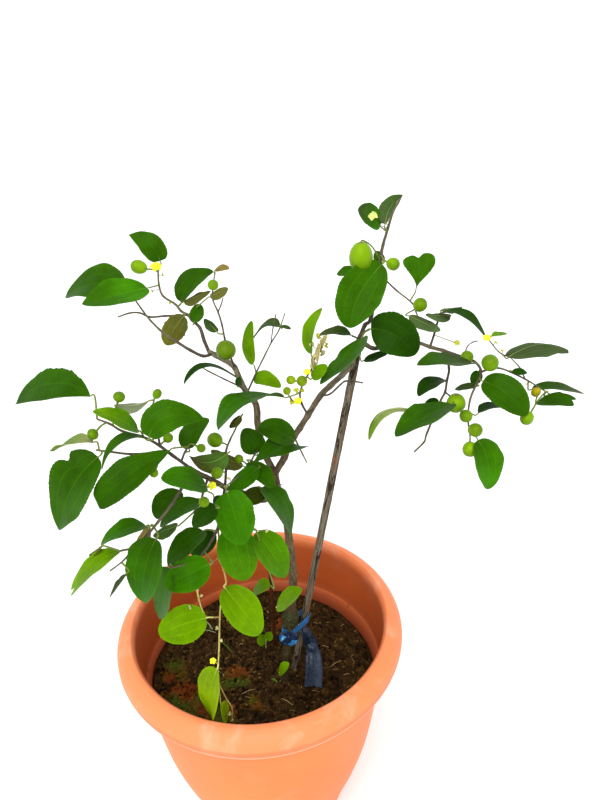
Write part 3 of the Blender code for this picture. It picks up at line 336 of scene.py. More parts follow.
SOIL_LEVEL = 80 * MM            # below the rim's top
SOIL_MOUND = 7 * MM
SOIL_EDGE = 121.4 * MM
SOIL_CENTRE = (10 * MM, -10 * MM)
MOUND_REACH = 60 * MM
SOIL_SLOPE = -0.045             # it lies lower at the right
LUMPS = (1.2 * MM, 13 * MM, 17 * MM)        # height, and lengths along X and Y
FURROWS = (0.9 * MM, 23 * MM)
SOIL_INSIDE = ((79.5, 249.5), (90.4, 225), (102.4, 190), (118.9, 110))
SOIL_RINGS = 84
SOIL_SEGMENTS = 300
CLODS = 5.2 * MM                # from the deepest gap to the highest clod
CLOD_NOISE = ((70, 1.7), (190, 4.1), (520, 7.7))        # how close together, and where in the noise
SWIRL_SEED = 5
CRUMB_SEED = 11
CRUMB_COUNT = 3400
CRUMB_SIZES = (0.8 * MM, 4.2 * MM)
TUFT_COUNT = 1500
MOSS = (                        # x, y and radius, in millimetres
    (-84, -48, 32), (-66, -84, 28), (-40, -62, 18), (-16, -92, 15), (-98, -6, 18), (24, 58, 18),
    (-30, -18, 18), (-52, -30, 14), (-8, -52, 10),
)
EARTH = (0.044, 0.022, 0.006)
# Dark crumbs, and the painted shade in the low gaps between clods
DARK_EARTH_AND_SHADE = (0.004, 0.002, 0.0006)
PALE_EARTH = (0.130, 0.072, 0.020)
RED_MOSS = (0.190, 0.040, 0.005)
GREEN_MOSS = (0.052, 0.086, 0.006)

noise.seed_set(SWIRL_SEED)      # without it the clods would lie otherwise at each run


class Gathered:
    """Faces for one piece. Each point also has a colour, a spot along and across its leaf, a side of the
    leaf, and a place in the grain: across, across and along a bar, in metres."""

    def __init__(self):
        self.count = 0
        self.rows = []
        self.faces = []

    def add(self, points, faces, tint, spots=(0.5, 0.5), underside=0, grain=(0, 0, 0)):
        """Adds faces. What each point has may be one value for all of them."""
        rows = [np.asarray(values, np.float32).reshape(-1, width) for values, width in
                ((points, 3), (tint, 3), (spots, 2), (underside, 1), (grain, 3))]
        self.rows.append(np.hstack([np.broadcast_to(row, (len(points), row.shape[1])) for row in rows]))
        self.faces += [tuple(v + self.count for v in face) for face in faces]
        self.count += len(points)

    def piece(self, name, surface, slot, node, smooth_angle=60):
        """Puts all of it in the scene as one piece, kept within the part's own box."""
        points, tint, spots, underside, grain = np.split(np.concatenate(self.rows), (3, 6, 8, 9), axis=1)
        mesh = new_mesh(name, np.clip(points, *cad_box), self.faces)
        tint = np.hstack([tint, np.ones((self.count, 1), np.float32)])
        mesh.color_attributes.new("tint", "FLOAT_COLOR", "POINT").data.foreach_set("color", tint.ravel())
        mesh.attributes.new("underside", "FLOAT", "POINT").data.foreach_set("value", underside.ravel())
        mesh.attributes.new("grain", "FLOAT_VECTOR", "POINT").data.foreach_set("vector", grain.ravel())
        corner = np.zeros(len(mesh.loops), np.int32)
        mesh.loops.foreach_get("vertex_index", corner)
        mesh.uv_layers.new(name="leaf").data.foreach_set("uv", spots[corner].ravel())
        add_piece(name, mesh, surface, node, smooth_angle)


def clamp(value):
    return min(max(value, 0), 1)


def between(a, b, t):
    """A value, or a tuple of them, part of the way from a to b."""
    if isinstance(a, (tuple, list)):
        return tuple(between(x, y, t) for x, y in zip(a, b))
    return a + (b - a) * t


def shade(colour, draw, spread):
    """A colour made a little lighter or darker by a draw."""
    factor = 1 + draw.uniform(-spread, spread)
    return tuple(c * factor for c in colour)


def soil_top(x, y):
    """The height of the soil's top before its clods."""
    off = math.hypot(x - SOIL_CENTRE[0], y - SOIL_CENTRE[1])
    mound = SOIL_MOUND * math.exp(-(off / MOUND_REACH) ** 2)
    lumps = LUMPS[0] * math.sin(x / LUMPS[1]) * math.cos(y / LUMPS[2])
    furrows = FURROWS[0] * math.sin((x + 2 * y) / FURROWS[1])
    return RIM_TOP - SOIL_LEVEL + mound + SOIL_SLOPE * x + lumps + furrows


def clods(x, y):
    """How high the soil stands here, from its deepest gap, 0, to its highest clod, 1, and how mossy it is."""
    swirl = 9 * MM * noise.noise_vector(Vector((x * 85, y * 85, 2.2)))
    p = Vector((x * 0.82 - y * 0.57, x * 0.57 + y * 0.82, 0)) + swirl
    coarse, middle, fine = (noise.noise(p * scale + Vector((0, 0, layer))) for scale, layer in CLOD_NOISE)
    moss = 0
    for mx, my, radius in MOSS:
        off = math.hypot(x - mx * MM, y - my * MM) / (radius * MM)
        moss = max(moss, 1 - off ** 2 + 0.7 * middle + 0.3 * fine)
    moss = clamp(moss * 1.5)
    return clamp(0.46 + 0.22 * (1 - 2 * abs(coarse)) + 0.34 * middle + 0.30 * fine + 0.10 * moss), moss


# The soil's colour: darkest where it lies low, painted shade in the gaps between clods, with pale specks on
# the highest clods, and moss that is darkened with the same painted shade where it lies low.
def soil_tint(x, y, high, moss):
    patch = 0.5 + 0.5 * noise.noise(Vector((x * 55, y * 55, 11)))
    speck = 0.5 + 0.5 * noise.noise(Vector((x * 430, y * 430, 3)))
    ground = between(DARK_EARTH_AND_SHADE, EARTH, min(1, max(0, high * 2.1 - 0.55) * (0.5 + patch)))
    ground = between(ground, PALE_EARTH, clamp(speck * high * 3.4 - 1.25))
    mossy = between(RED_MOSS, GREEN_MOSS, clamp(patch * 3.2 - 1.3 + speck * 0.4))
    return between(ground, tuple(c * (0.3 + 0.9 * high) for c in mossy), moss * (0.35 + 0.65 * speck))


def potting_soil():
    skin = Skin("potting_soil")
    fine = skin.place.grain(620, 4, 0.65)
    relief = fine * 0.7 + skin.place.cells(380) * 0.5
    return skin.worn(skin.own("tint").scaled(0.25 + 1.5 * fine), 0.70 + 0.28 * fine,
                     Normal=relief.bump(0.8, 0.0012), Specular_IOR_Level=0.06)


SOIL_FINISH = potting_soil()
soil = Gathered()
points = []
for radius, below in SOIL_INSIDE:
    points += ring(radius * MM, SOIL_SEGMENTS, RIM_TOP - below * MM)
tints = [DARK_EARTH_AND_SHADE] * len(points)
for i in range(SOIL_RINGS):
    for x, y, level in ring(SOIL_EDGE * (1 - i / SOIL_RINGS), SOIL_SEGMENTS):
        high, moss = clods(x, y)
        points.append((x, y, soil_top(x, y) + CLODS * (high - 0.5) * min(1, i / 4)))
        tints.append(soil_tint(x, y, high, moss))
middle_point = len(points)
innermost = middle_point - SOIL_SEGMENTS
points.append((0, 0, soil_top(0, 0)))
tints.append(EARTH)
faces = [tuple(reversed(range(SOIL_SEGMENTS))), *ring_faces(len(SOIL_INSIDE) + SOIL_RINGS, SOIL_SEGMENTS)]
for k in range(SOIL_SEGMENTS):
    faces.append((innermost + k, innermost + (k + 1) % SOIL_SEGMENTS, middle_point))
soil.add(points, faces, tints)
soil.piece("soil_bed", SOIL_FINISH, "soil", "soil", 180)

pebble = bmesh.new()
bmesh.ops.create_icosphere(pebble, subdivisions=1, radius=1)
PEBBLE_POINTS = [v.co.copy() for v in pebble.verts]
PEBBLE_FACES = [tuple(v.index for v in f.verts) for f in pebble.faces]
pebble.free()


def add_crumb(heap, draw, centre, size, tint):
    """An uneven little lump."""
    stretch = [draw.uniform(0.6, 1.35) for axis in range(3)]
    turn = Matrix.Rotation(draw.uniform(0, 6.3), 3, Vector((draw.random(), draw.random(), 0.3)))
    made = []
    for p in PEBBLE_POINTS:
        q = Vector(a * b for a, b in zip(p, stretch)) * (size / 2 * draw.uniform(0.75, 1.2))
        made.append(centre + turn @ q)
    heap.add(made, PEBBLE_FACES, tint)


def on_soil(draw, margin):
    """A random place on the soil, how high it stands and how mossy it is."""
    radius = (SOIL_EDGE - margin) * math.sqrt(draw.random())
    angle = draw.uniform(0, 2 * math.pi)
    x = radius * math.cos(angle)
    y = radius * math.sin(angle)
    high, moss = clods(x, y)
    return Vector((x, y, soil_top(x, y) + CLODS * (high - 0.5))), high, moss


crumbs = Gathered()
draw = random.Random(CRUMB_SEED)
for i in range(CRUMB_COUNT):
    place, high, moss = on_soil(draw, 3 * MM)
    size = between(*CRUMB_SIZES, draw.random() ** 3.2)
    kind = draw.random()
    if kind < 0.05:
        tint = shade(PALE_EARTH, draw, 0.5)
    elif kind < 0.20:
        tint = shade(DARK_EARTH_AND_SHADE, draw, 0.8)
    else:
        tint = shade(soil_tint(place.x, place.y, min(1, high + 0.25), moss), draw, 0.6)
    add_crumb(crumbs, draw, place + Vector((0, 0, size * 0.12)), size, tint)
for i in range(TUFT_COUNT):
    place, high, moss = on_soil(draw, 4 * MM)
    if moss > 0.45:
        green = noise.noise(Vector((place.x * 45, place.y * 45, 5))) > -0.05
        tint = shade(GREEN_MOSS if green else RED_MOSS, draw, 0.7)
        add_crumb(crumbs, draw, place + Vector((0, 0, 0.4 * MM)), draw.uniform(0.8, 3.4) * MM, tint)
crumbs.piece("soil_crumbs", SOIL_FINISH, "soil", "soil")


# Dry straws and blades of grass lie on the soil. Those that can be told apart are placed by the photograph: a
# pixel gives a line of sight, and that meets the soil, or reaches a depth along it, at one place.

PHOTO_CENTRE = (300, 400)
PHOTO_FOCAL = 640               # pixels
EYE = Vector((53.4, -517.3, 494.8)) * MM + Vector((0, 0, RIM_TOP))
LOOK_DOWN = math.radians(25.524)
LEAN = math.radians(-2.685)
SIGHT_AHEAD = Vector((0, math.cos(LOOK_DOWN), -math.sin(LOOK_DOWN)))
UPRIGHT = Vector((0, math.sin(LOOK_DOWN), math.cos(LOOK_DOWN)))
SIDEWAYS = Vector((1, 0, 0))
SIGHT_RIGHT = SIDEWAYS * math.cos(LEAN) + UPRIGHT * math.sin(LEAN)
SIGHT_UP = UPRIGHT * math.cos(LEAN) - SIDEWAYS * math.sin(LEAN)
KNOB_SIZES = (160, 420)         # how close together the knobs of an uneven bar are
STRAW_COUNT = 110
STRAW = (0.36, 0.27, 0.11)
GREY_BLADE = (0.24, 0.30, 0.18)
BLADES = (                      # two pixels, radius in millimetres, colour
    ((207, 625), (213, 633), 0.8, GREY_BLADE), ((202, 634), (216, 636), 0.6, GREY_BLADE),
    ((222, 646), (232, 656), 1.1, GREEN_MOSS), ((272, 684), (278, 687), 1.3, (0.08, 0.17, 0.01)),
    ((194, 616), (201, 613), 0.6, RED_MOSS), ((330, 668), (341, 660), 0.4, STRAW),
    ((243, 700), (256, 695), 0.4, STRAW), ((282, 702), (293, 708), 0.4, STRAW),
)


def sight_ray(x, y):
    right = (x - PHOTO_CENTRE[0]) / PHOTO_FOCAL
    up = (PHOTO_CENTRE[1] - y) / PHOTO_FOCAL
    return SIGHT_AHEAD + SIGHT_RIGHT * right + SIGHT_UP * up


def sight(x, y, depth):
    """The place that pixel (x, y) shows, `depth` millimetres beyond the pot's axis."""
    ray = sight_ray(x, y)
    return EYE + ray * ((depth * MM - EYE.y) / ray.y)


def sight_on_soil(x, y):
    """The place on the soil's level that pixel (x, y) shows."""
    ray = sight_ray(x, y)
    return EYE + ray * ((RIM_TOP - SOIL_LEVEL - EYE.z) / ray.z)


def pixel_size(point):
    """How many metres one pixel spans at a place."""
    return (point - EYE).dot(SIGHT_AHEAD) / PHOTO_FOCAL


def traced(route, steps):
    """A curve through (pixel x, pixel y, depth) points."""
    return curved([sight(*point) for point in route], steps)


def add_bar(heap, places, radii, sides, tint, knobs=0.0, flat=1.0):
    """A closed bar along places, with a radius for each, and one colour or a list of them. `knobs` is how
    uneven its skin is, as a share of its radius, and `flat` is how high it is for its width."""
    last = len(places) - 1
    tangents = [(places[min(i + 1, last)] - places[max(i - 1, 0)]).normalized() for i in range(last + 1)]
    across = tangents[0].cross(Vector((0, 0, 1)))
    across = across.normalized() if across.length > 0.1 else tangents[0].orthogonal().normalized()
    travelled = 0
    points = []
    grains = []
    for i, (place, tangent, radius) in enumerate(zip(places, tangents, radii)):
        across = (across - tangent * across.dot(tangent)).normalized()
        beside = tangent.cross(across) * flat
        travelled += (place - places[max(i - 1, 0)]).length
        for east, north, level in ring(1, sides):
            out = across * east + beside * north
            uneven_radius = radius
            for size in KNOB_SIZES if knobs else ():
                uneven_radius *= 1 + knobs * noise.noise((place + out * radius) * size)
            points.append(place + out * uneven_radius)
            grains.append((east * radius, north * radius, travelled))
    tints = np.repeat(tint, sides, axis=0) if isinstance(tint, list) else tint
    heap.add(points, capped(last + 1, sides), tints, grain=grains)


straws = Gathered()
for i in range(STRAW_COUNT):
    middle, high, moss = on_soil(draw, 8 * MM)
    heading = draw.uniform(0, 2 * math.pi)
    half = Vector((math.cos(heading), math.sin(heading), draw.uniform(-0.25, 0.25)))
    half *= draw.uniform(1.2, 4.5) * MM
    bowed = middle + Vector((0, 0, draw.uniform(0.6, 1.6) * MM))
    line = curved([middle - half, bowed, middle + half], 3)
    add_bar(straws, line, [draw.uniform(0.12, 0.30) * MM] * len(line), 5, shade(STRAW, draw, 0.7))
for start, end, radius, tint in BLADES:
    places = [sight_on_soil(*start), sight_on_soil(*end)]
    for place in places:
        place.z = soil_top(place.x, place.y) + CLODS * 0.5
    line = curved([places[0], (places[0] + places[1]) / 2 + Vector((0, 0, 1.2 * MM)), places[1]], 5)
    swell = [0.5 + 0.5 * math.sin(math.pi * (0.1 + 0.8 * i / (len(line) - 1))) for i in range(len(line))]
    add_bar(straws, line, [radius * MM * share for share in swell], 6, tint, flat=0.5)
straws.piece("straws", SOIL_FINISH, "soil", "soil")


# The tree's wood: a straight young stem, swollen and mossy where it was grafted, that forks into a grey right
# limb and an olive left one. A shorter limb comes forward, and a thorn and a bare twig are left on it.

TRUNK_ROUTE = (                 # pixel x, pixel y, depth in millimetres
    (285, 678, -20), (287, 645, -20), (291, 617, -20), (293, 585, -21), (292, 560, -23), (290, 545, -24),
    (288, 530, -25), (285, 510, -27), (278, 490, -29), (275, 473, -30),
)
LEFT_LIMB = (
    (275, 473, -30), (264, 452, -27), (258, 425, -24), (256, 405, -22), (247, 393, -20), (240, 380, -17),
    (235, 368, -14), (228, 362, -10), (215, 355, -5), (209, 352, -2),
)
RIGHT_LIMB = (
    (275, 473, -30), (284, 458, -28), (288, 448, -26), (294, 436, -22), (300, 428, -18), (308, 415, -12),
    (320, 396, -5), (330, 386, 0), (342, 375, 4), (350, 365, 6), (357, 345, 8), (361, 335, 9),
)
FRONT_LIMB = (
    (279, 493, -29), (262, 500, -50), (240, 492, -75), (225, 487, -92), (212, 480, -105), (198, 473, -115),
    (190, 468, -120),
)
SIDE_LIMB = (
    (360, 340, 8), (372, 348, 5), (382, 347, 1), (400, 344, -5), (418, 343, -11), (430, 347, -14),
    (445, 351, -17),
)
BARE_TWIG = (
    (320, 396, -5), (330, 394, -16), (340, 385, -22), (346, 381, -24), (358, 382, -26), (363, 383, -27),
)
THORN = ((276, 486, -30), (282, 484, -38))
GRAFT_LUMP = (290.5, 619, -21)
GRAFT_SIZE = (17, 22)           # pixels across and along
GRAFT_CRUMBS = 26
GRAFT_SEED = 3
TRUNK_RADII = (4.5, 3.3)        # millimetres, at its buried foot and at the fork
TRUNK_SIDES = 28
LIMB_SIDES = 18
LIMB_STEPS = 7
ROOT_LEAN = Vector((-0.3, -0.15, -1))
ROOT_BEND = 8 * MM
STEM_DEPTH = 60 * MM
OLD_BARK = (0.062, 0.038, 0.014)
MID_BARK = (0.105, 0.074, 0.036)
MOSSY_BARK = (0.030, 0.034, 0.009)
LEFT_BARK = (0.150, 0.135, 0.080)
RIGHT_BARK = (0.135, 0.118, 0.078)
FRONT_BARK = (0.060, 0.052, 0.024)
YOUNG_BARK = (0.110, 0.084, 0.048)
LICHEN = (0.27, 0.26, 0.18)
BREATHING_SPOT = (0.30, 0.22, 0.12)


def tapered(thick, thin, count):
    """Radii in metres, from two in millimetres."""
    return [between(thick, thin, i / (count - 1)) * MM for i in range(count)]


def budded(radii, steps, swell):
    """Radii with a swelling at every bud, which is where a route's points lie."""
    for i in range(1, len(radii) - 1):
        near = abs((i + steps / 2) % steps - steps / 2)
        radii[i] *= 1 + swell * math.exp(-near ** 2)
    return radii


def bark(name, fissures=1.0):
    """Bark that follows the grain of the wood, with long cracks and pale breathing spots."""
    skin = Skin(name)
    tint = skin.own("tint")
    grain = skin.own("grain", 1)
    streak = grain.stretched(1, 1, 0.16).grain(720, 4, 0.62, 0.4)
    patch = grain.stretched(1, 1, 0.6).grain(130, 3, 0.6)
    crack = grain.stretched(1, 1, 0.11).cells(620, "DISTANCE_TO_EDGE").rises(0.10, 0.0) * fissures
    dots = grain.stretched(1, 1, 1.4).cells(420).rises(0.20, 0.10)
    lichen = grain.stretched(1, 1, 0.7).grain(260, 5, 0.7, 0.8).rises(0.56, 0.68)
    colour = tint.scaled(0.30 + 1.30 * streak)
    colour = patch.rises(0.4, 0.62).mix(colour, colour.scaled(1.45))
    colour = (crack * 0.70).mix(colour, tint.scaled(0.18))
    colour = (lichen * 0.30).mix(colour, LICHEN)
    colour = (dots * 0.35).mix(colour, BREATHING_SPOT)
    relief = streak * 0.6 - crack * 0.8 + dots * 0.4 + patch * 0.4
    return skin.worn(colour, 0.62 + 0.3 * streak, Normal=relief.bump(0.7, 0.0009), Specular_IOR_Level=0.18)


def add_limb(route, thick, thin, tint, end_tint, sides=LIMB_SIDES):
    line = traced(route, LIMB_STEPS)
    tints = [between(tint, end_tint, i / len(line)) for i in range(len(line))]
    add_bar(wood, line, budded(tapered(thick, thin, len(line)), LIMB_STEPS, 0.10), sides, tints, knobs=0.12)


wood = Gathered()
trunk_way = [sight(*point) for point in TRUNK_ROUTE]
root_down = (trunk_way[0] - trunk_way[1]).normalized()
root_bend = trunk_way[0] + root_down * ROOT_BEND
root_foot = root_bend + ROOT_LEAN.normalized() * STEM_DEPTH
trunk_line = curved([root_foot, root_bend, *trunk_way], LIMB_STEPS * 2)
lump = sight(*GRAFT_LUMP)
lump_out, lump_up = (size / 2 * pixel_size(lump) for size in GRAFT_SIZE)
radii = []
tints = []
for i, place in enumerate(trunk_line):
    radius = between(*TRUNK_RADII, i / (len(trunk_line) - 1)) * MM
    off = abs((place - lump).dot(root_down)) / lump_up
    swell = math.sqrt(max(0, 1 - off ** 2)) * (lump_out - radius) * 0.86
    flare = 1.3 * MM * math.exp(-max(0, place.z - trunk_way[0].z) / (7 * MM))
    radii.append(radius + swell + flare)
    tint = between(OLD_BARK, MID_BARK, clamp((place.z - lump.z) / (40 * MM)))
    tints.append(between(tint, MOSSY_BARK, min(1, swell / (2 * MM) + 0.5 * (place.z < lump.z))))
add_bar(wood, trunk_line, radii, TRUNK_SIDES, tints, knobs=0.16)
draw = random.Random(GRAFT_SEED)
for i in range(GRAFT_CRUMBS):
    angle = draw.uniform(0, 2 * math.pi)
    out = Vector((math.cos(angle), math.sin(angle), draw.uniform(-1.0, 0.9)))
    at = lump + Vector((out.x * lump_out * 0.78, out.y * lump_out * 0.78, out.z * lump_up * 0.72))
    size = draw.uniform(2.5, 6.0) * MM
    add_crumb(wood, draw, at, size, shade(between(MOSSY_BARK, OLD_BARK, draw.random() * 0.6), draw, 0.5))
add_limb(LEFT_LIMB, 3.0, 2.2, MID_BARK, LEFT_BARK)
add_limb(RIGHT_LIMB, 3.0, 2.4, MID_BARK, RIGHT_BARK)
add_limb(FRONT_LIMB, 2.6, 1.7, MID_BARK, FRONT_BARK)
add_limb(SIDE_LIMB, 2.0, 1.5, RIGHT_BARK, YOUNG_BARK)
add_limb(BARE_TWIG, 0.9, 0.7, YOUNG_BARK, YOUNG_BARK, sides=10)
thorn = traced(THORN, 6)
add_bar(wood, thorn, tapered(1.3, 0.25, len(thorn)), 10, LEFT_BARK)
wood.piece("trunk_and_limbs", bark("bark"), "bark", "trunk", 180)


# The stake: a rough peeled pole, mottled grey and dark brown, pushed into the soil beside the trunk and tied
# to it. The thin stick behind is a dried red-brown shoot.

STAKE_FOOT = (293.5, 672)
STAKE_TOP = (359.5, 341, 34)
STAKE_RADIUS = 3.9              # millimetres
STICK_FOOT = (275, 650)
STICK_TOP = (270, 568, 19)
STICK_RADIUS = 1.9
POLE_STEPS = 64
KNOT_EVERY = 17                 # steps from one knot of a pole to the next
FIBRE_DARK = (0.034, 0.026, 0.016)
FIBRE_PALE = (0.190, 0.170, 0.118)
BLOTCH = (0.026, 0.013, 0.007)
BLOTCH_EDGE = (0.170, 0.062, 0.024)
FLECK = (0.34, 0.28, 0.20)
STICK_DARK = (0.020, 0.005, 0.002)
STICK_RED = (0.080, 0.022, 0.006)


def peeled_wood():
    skin = Skin("peeled_wood")
    grain = skin.own("grain", 1)
    fibre = grain.stretched(1, 1, 0.035).grain(900, 4, 0.6, 0.3)
    blotch = grain.stretched(1, 1, 0.22).grain(190, 4, 0.65, 0.9)
    fleck = grain.stretched(1, 1, 0.30).cells(520).rises(0.24, 0.12)
    colour = fibre.rises(0.30, 0.70).mix(FIBRE_DARK, FIBRE_PALE)
    colour = blotch.rises(0.50, 0.58).mix(colour, BLOTCH)
    colour = (blotch.rises(0.43, 0.36) * 0.6).mix(colour, BLOTCH_EDGE)
    colour = (fleck * 0.5).mix(colour, FLECK)
    relief = fibre * 0.7 - blotch * 0.4 + fleck * 0.3
    return skin.worn(colour, 0.6 + 0.3 * blotch, Normal=relief.bump(0.6, 0.0007), Specular_IOR_Level=0.15)


def dry_shoot():
    skin = Skin("dry_shoot")
    fibre = skin.own("grain", 1).stretched(1, 1, 0.06).grain(1100, 4, 0.6)
    return skin.worn(fibre.rises(0.3, 0.7).mix(STICK_DARK, STICK_RED), 0.5 + 0.3 * fibre,
                     Normal=fibre.bump(0.5, 0.0005), Specular_IOR_Level=0.15)


def add_pole(name, foot_pixel, top_point, radius, sides, surface, slot):
    """A pole pushed into the soil. Gives back where it enters the soil, and its top."""
    entry = sight_on_soil(*foot_pixel)
    top = sight(*top_point)
    foot = entry + (entry - top).normalized() * STEM_DEPTH
    radii = []
    for i in range(POLE_STEPS + 1):
        knot = math.exp(-(i % KNOT_EVERY - 8) ** 2 / 3)
        radii.append(radius * MM * (0.965 + 0.035 * knot) * (0.90 if i == POLE_STEPS else 1))
    pole = Gathered()
    line = [foot.lerp(top, i / POLE_STEPS) for i in range(POLE_STEPS + 1)]
    add_bar(pole, line, radii, sides, (0, 0, 0), knobs=0.05)
    pole.piece(name, surface, slot, name)
    return entry, top


stake_ends = add_pole("stake", STAKE_FOOT, STAKE_TOP, STAKE_RADIUS, 24, peeled_wood(), "stake_wood")
add_pole("thin_stick", STICK_FOOT, STICK_TOP, STICK_RADIUS, 14, dry_shoot(), "stick_wood")


# The tie: a strip of thin blue plastic film, wound round the trunk and the stake and knotted in front. Its
# long tail is folded along its middle and hangs down to the soil. Some of its windings, loops and creases
# carry painted shade, nearly black, or painted highlight, pale blue.

KNOT = (288, 638, -28.6)
KNOT_SIZE = (19, 10, 18)        # millimetres across, deep and high
KNOT_CORE = 0.36                # its round middle, as a share of that
KNOT_TURNS = 13
KNOT_SEED = 8
TAPE_WIDTH = 10 * MM
TAPE_CLEARANCE = 0.7 * MM
FILM = 0.35 * MM
WINDINGS = (            # height and tilt in millimetres, distance in metres, and where its waves start
    # The inner winding is in painted shade
    (-1.5, 2.0, 0.0, 0, "deep"),
    (1.5, -1.5, 0.6 * MM, 2, "bright"),
)
TAIL_LEFT = ((299, 630, -13), (303, 638, -16), (305.5, 650, -12), (305.5, 668, -24), (304.5, 687, -44))
TAIL_RIGHT = ((305, 626, -8), (312, 633, -10), (318.5, 647, -9), (322.5, 666, -23), (322, 688, -46))
TAIL_FOLD = 3 * MM
TAIL_STEPS = 9
TAIL_COLUMNS = 24
BAND_ROWS = (-1, -0.6, -0.2, 0.2, 0.6, 1)       # across the strip, from edge to edge
BAND_STEPS = 72
CORE_RINGS = 16
CORE_STEPS = 32
LOOP_STEPS = 39
LOOP_ROWS = 6
LOOP_TURN = 0.9                 # how much of a full turn one loop of the knot makes
LOOP_WIDTH = 0.75               # where the knot's own box is 2 high
BAND_CREASES = (5 * MM, 0.9 * MM)       # how wide and how deep
CORE_CREASES = (5 * MM, 2.0 * MM)
LOOP_CREASES = (6 * MM, 1.5 * MM)
TAIL_CREASES = (9 * MM, 0.8 * MM)
# The film's blues: "bright" is its own colour, "deep", nearly black, is painted shade, and "fold", pale, is
# painted highlight
BLUES = {"bright": (0.028, 0.175, 0.440), "deep": (0.004, 0.016, 0.050), "fold": (0.34, 0.58, 0.80)}
SLATE_BLUE = (0.008, 0.017, 0.038)
GREY_BLUE = (0.020, 0.036, 0.064)


def add_sheet(heap, grid, thickness, tint, under_tint=None, spots=(0.5, 0.5)):
    """A thin closed sheet over a grid of places, its upper side where the columns turn left of the rows."""
    grid = np.asarray(grid, float)
    rows, columns = grid.shape[:2]
    count = rows * columns
    normal = np.cross(np.gradient(grid, axis=0), np.gradient(grid, axis=1))
    normal = normal / np.maximum(np.linalg.norm(normal, axis=2, keepdims=True), 1e-12)
    faces = []
    for i in range(rows - 1):
        for j in range(columns - 1):
            a = i * columns + j
            upper = (a, a + columns, a + columns + 1, a + 1)
            faces += [upper, tuple(v + count for v in (a, *upper[:0:-1]))]
    rim = [*range(columns), *range(2 * columns - 1, count, columns)]
    rim += [*range(count - 2, count - columns - 1, -1), *range(count - 2 * columns, 0, -columns)]
    for a, b in zip(rim, rim[1:] + rim[:1]):
        faces.append((a, b, b + count, a + count))
    out = normal * (thickness / 2)
    points = np.concatenate([grid + out, grid - out]).reshape(-1, 3)
    colours = (tint, tint if under_tint is None else under_tint)
    tints = np.concatenate([np.broadcast_to(colour, grid.shape) for colour in colours])
    spots = np.concatenate([np.broadcast_to(spots, (rows, columns, 2))] * 2)
    heap.add(points, faces, tints, spots, underside=np.repeat((0, 1), count))


def crumple(place, size, amount):
    """Pushes a place about, in sharp folds of a given size."""
    p = place / size
    ridges = Vector(noise.noise(p + Vector((i * 7.3, 0, i))) for i in range(3))
    folds = Vector(1 - 2 * abs(noise.noise(p * 1.7 + Vector((0, i * 5.1, 3)))) for i in range(3))
    return place + (ridges * 0.7 + folds * 0.5 - Vector((0.25, 0.25, 0.25))) * amount


def plastic_film():
    skin = Skin("plastic_film")
    long_folds = skin.place.stretched(1, 1, 0.22)
    broad = skin.place.grain(150, 2)
    crease = abs(long_folds.grain(260, 2, 0.5, 0.8) - 0.5).rises(0.035, 0.0)
    worn = long_folds.grain(170, 3, 0.6, 0.5).rises(0.56, 0.70)
    # Creases are paled a little with painted highlight, and worn streaks with the same pale blue
    colour = (crease * 0.05).mix(skin.own("tint").scaled(0.40 + 1.2 * broad), BLUES["fold"])
    colour = (worn * 0.03).mix(colour, BLUES["fold"])
    return skin.worn(colour, 0.30 + 0.25 * worn, Normal=(crease * 0.7 + broad * 0.5).bump(0.4, 0.0010),
                     Specular_IOR_Level=0.3, Coat_Roughness=0.2)


def at_height(ends, height):
    low, high = ends
    return low.lerp(high, (height - low.z) / (high.z - low.z))


def wound(height, tilt, extra, start):
    """One turn of the strip round the trunk and the stake, as a crumpled closed band."""
    rows = []
    for v in BAND_ROWS:
        row = []
        for k in range(BAND_STEPS + 1):
            angle = 2 * math.pi * k / BAND_STEPS
            level = height + v * TAPE_WIDTH / 2 * (0.8 + 0.2 * math.sin(2 * angle + start))
            level += tilt * math.cos(angle) * MM
            a = at_height(trunk_way[:2], level)
            b = at_height(stake_ends, level)
            heading = math.atan2(b.y - a.y, b.x - a.x)
            centre, core = (b, STAKE_RADIUS) if math.cos(angle - heading) > 0 else (a, TRUNK_RADII[0])
            out = Vector((math.cos(angle), math.sin(angle), 0))
            row.append(crumple(centre + out * (core * MM + TAPE_CLEARANCE + extra), *BAND_CREASES))
        rows.append(row)
    return rows


def in_knot(local, share):
    """A place in the knot, whose own box goes from -1 to 1 on each axis."""
    return knot + Vector(a * b for a, b in zip(local, KNOT_SIZE)) * (share * MM)


tape = Gathered()
knot = sight(*KNOT)
for height, tilt, extra, start, blue in WINDINGS:
    add_sheet(tape, wound(knot.z + height * MM, tilt, extra, start), FILM, BLUES[blue])
core = []
for i in range(CORE_RINGS + 1):
    polar = math.pi * (0.03 + 0.94 * i / CORE_RINGS)
    row = []
    for k in range(CORE_STEPS + 1):
        angle = 2 * math.pi * k / CORE_STEPS
        local = (math.sin(polar) * math.cos(angle), math.sin(polar) * math.sin(angle), math.cos(polar))
        row.append(crumple(in_knot(local, KNOT_CORE), *CORE_CREASES))
    core.append(row)
add_sheet(tape, core, FILM, BLUES["bright"])
draw = random.Random(KNOT_SEED)
for turn_index in range(KNOT_TURNS):
    lean = draw.uniform(-0.9, 0.9)
    spin = draw.uniform(0, math.pi)
    reach = draw.uniform(0.62, 1.0)
    rows = []
    for k in range(LOOP_STEPS + 1):
        angle = 2 * math.pi * k / LOOP_STEPS * LOOP_TURN
        row = []
        for v in range(LOOP_ROWS + 1):
            w = (v / LOOP_ROWS - 0.5) * LOOP_WIDTH
            high = math.sin(angle)
            local = Vector((math.cos(angle), high * math.cos(lean), high * math.sin(lean) + w))
            local.rotate(Matrix.Rotation(spin, 3, "Y"))
            row.append(crumple(in_knot(local, reach / 2), *LOOP_CREASES))
        rows.append(row)
    # Each loop is drawn in the film's own blue, in painted shade or in painted highlight
    kind = draw.random()
    add_sheet(tape, rows, FILM, BLUES["fold" if kind < 0.20 else "deep" if kind < 0.45 else "bright"])
left_edge = traced(TAIL_LEFT, TAIL_STEPS)
right_edge = traced(TAIL_RIGHT, TAIL_STEPS)
rows = []
tints = []
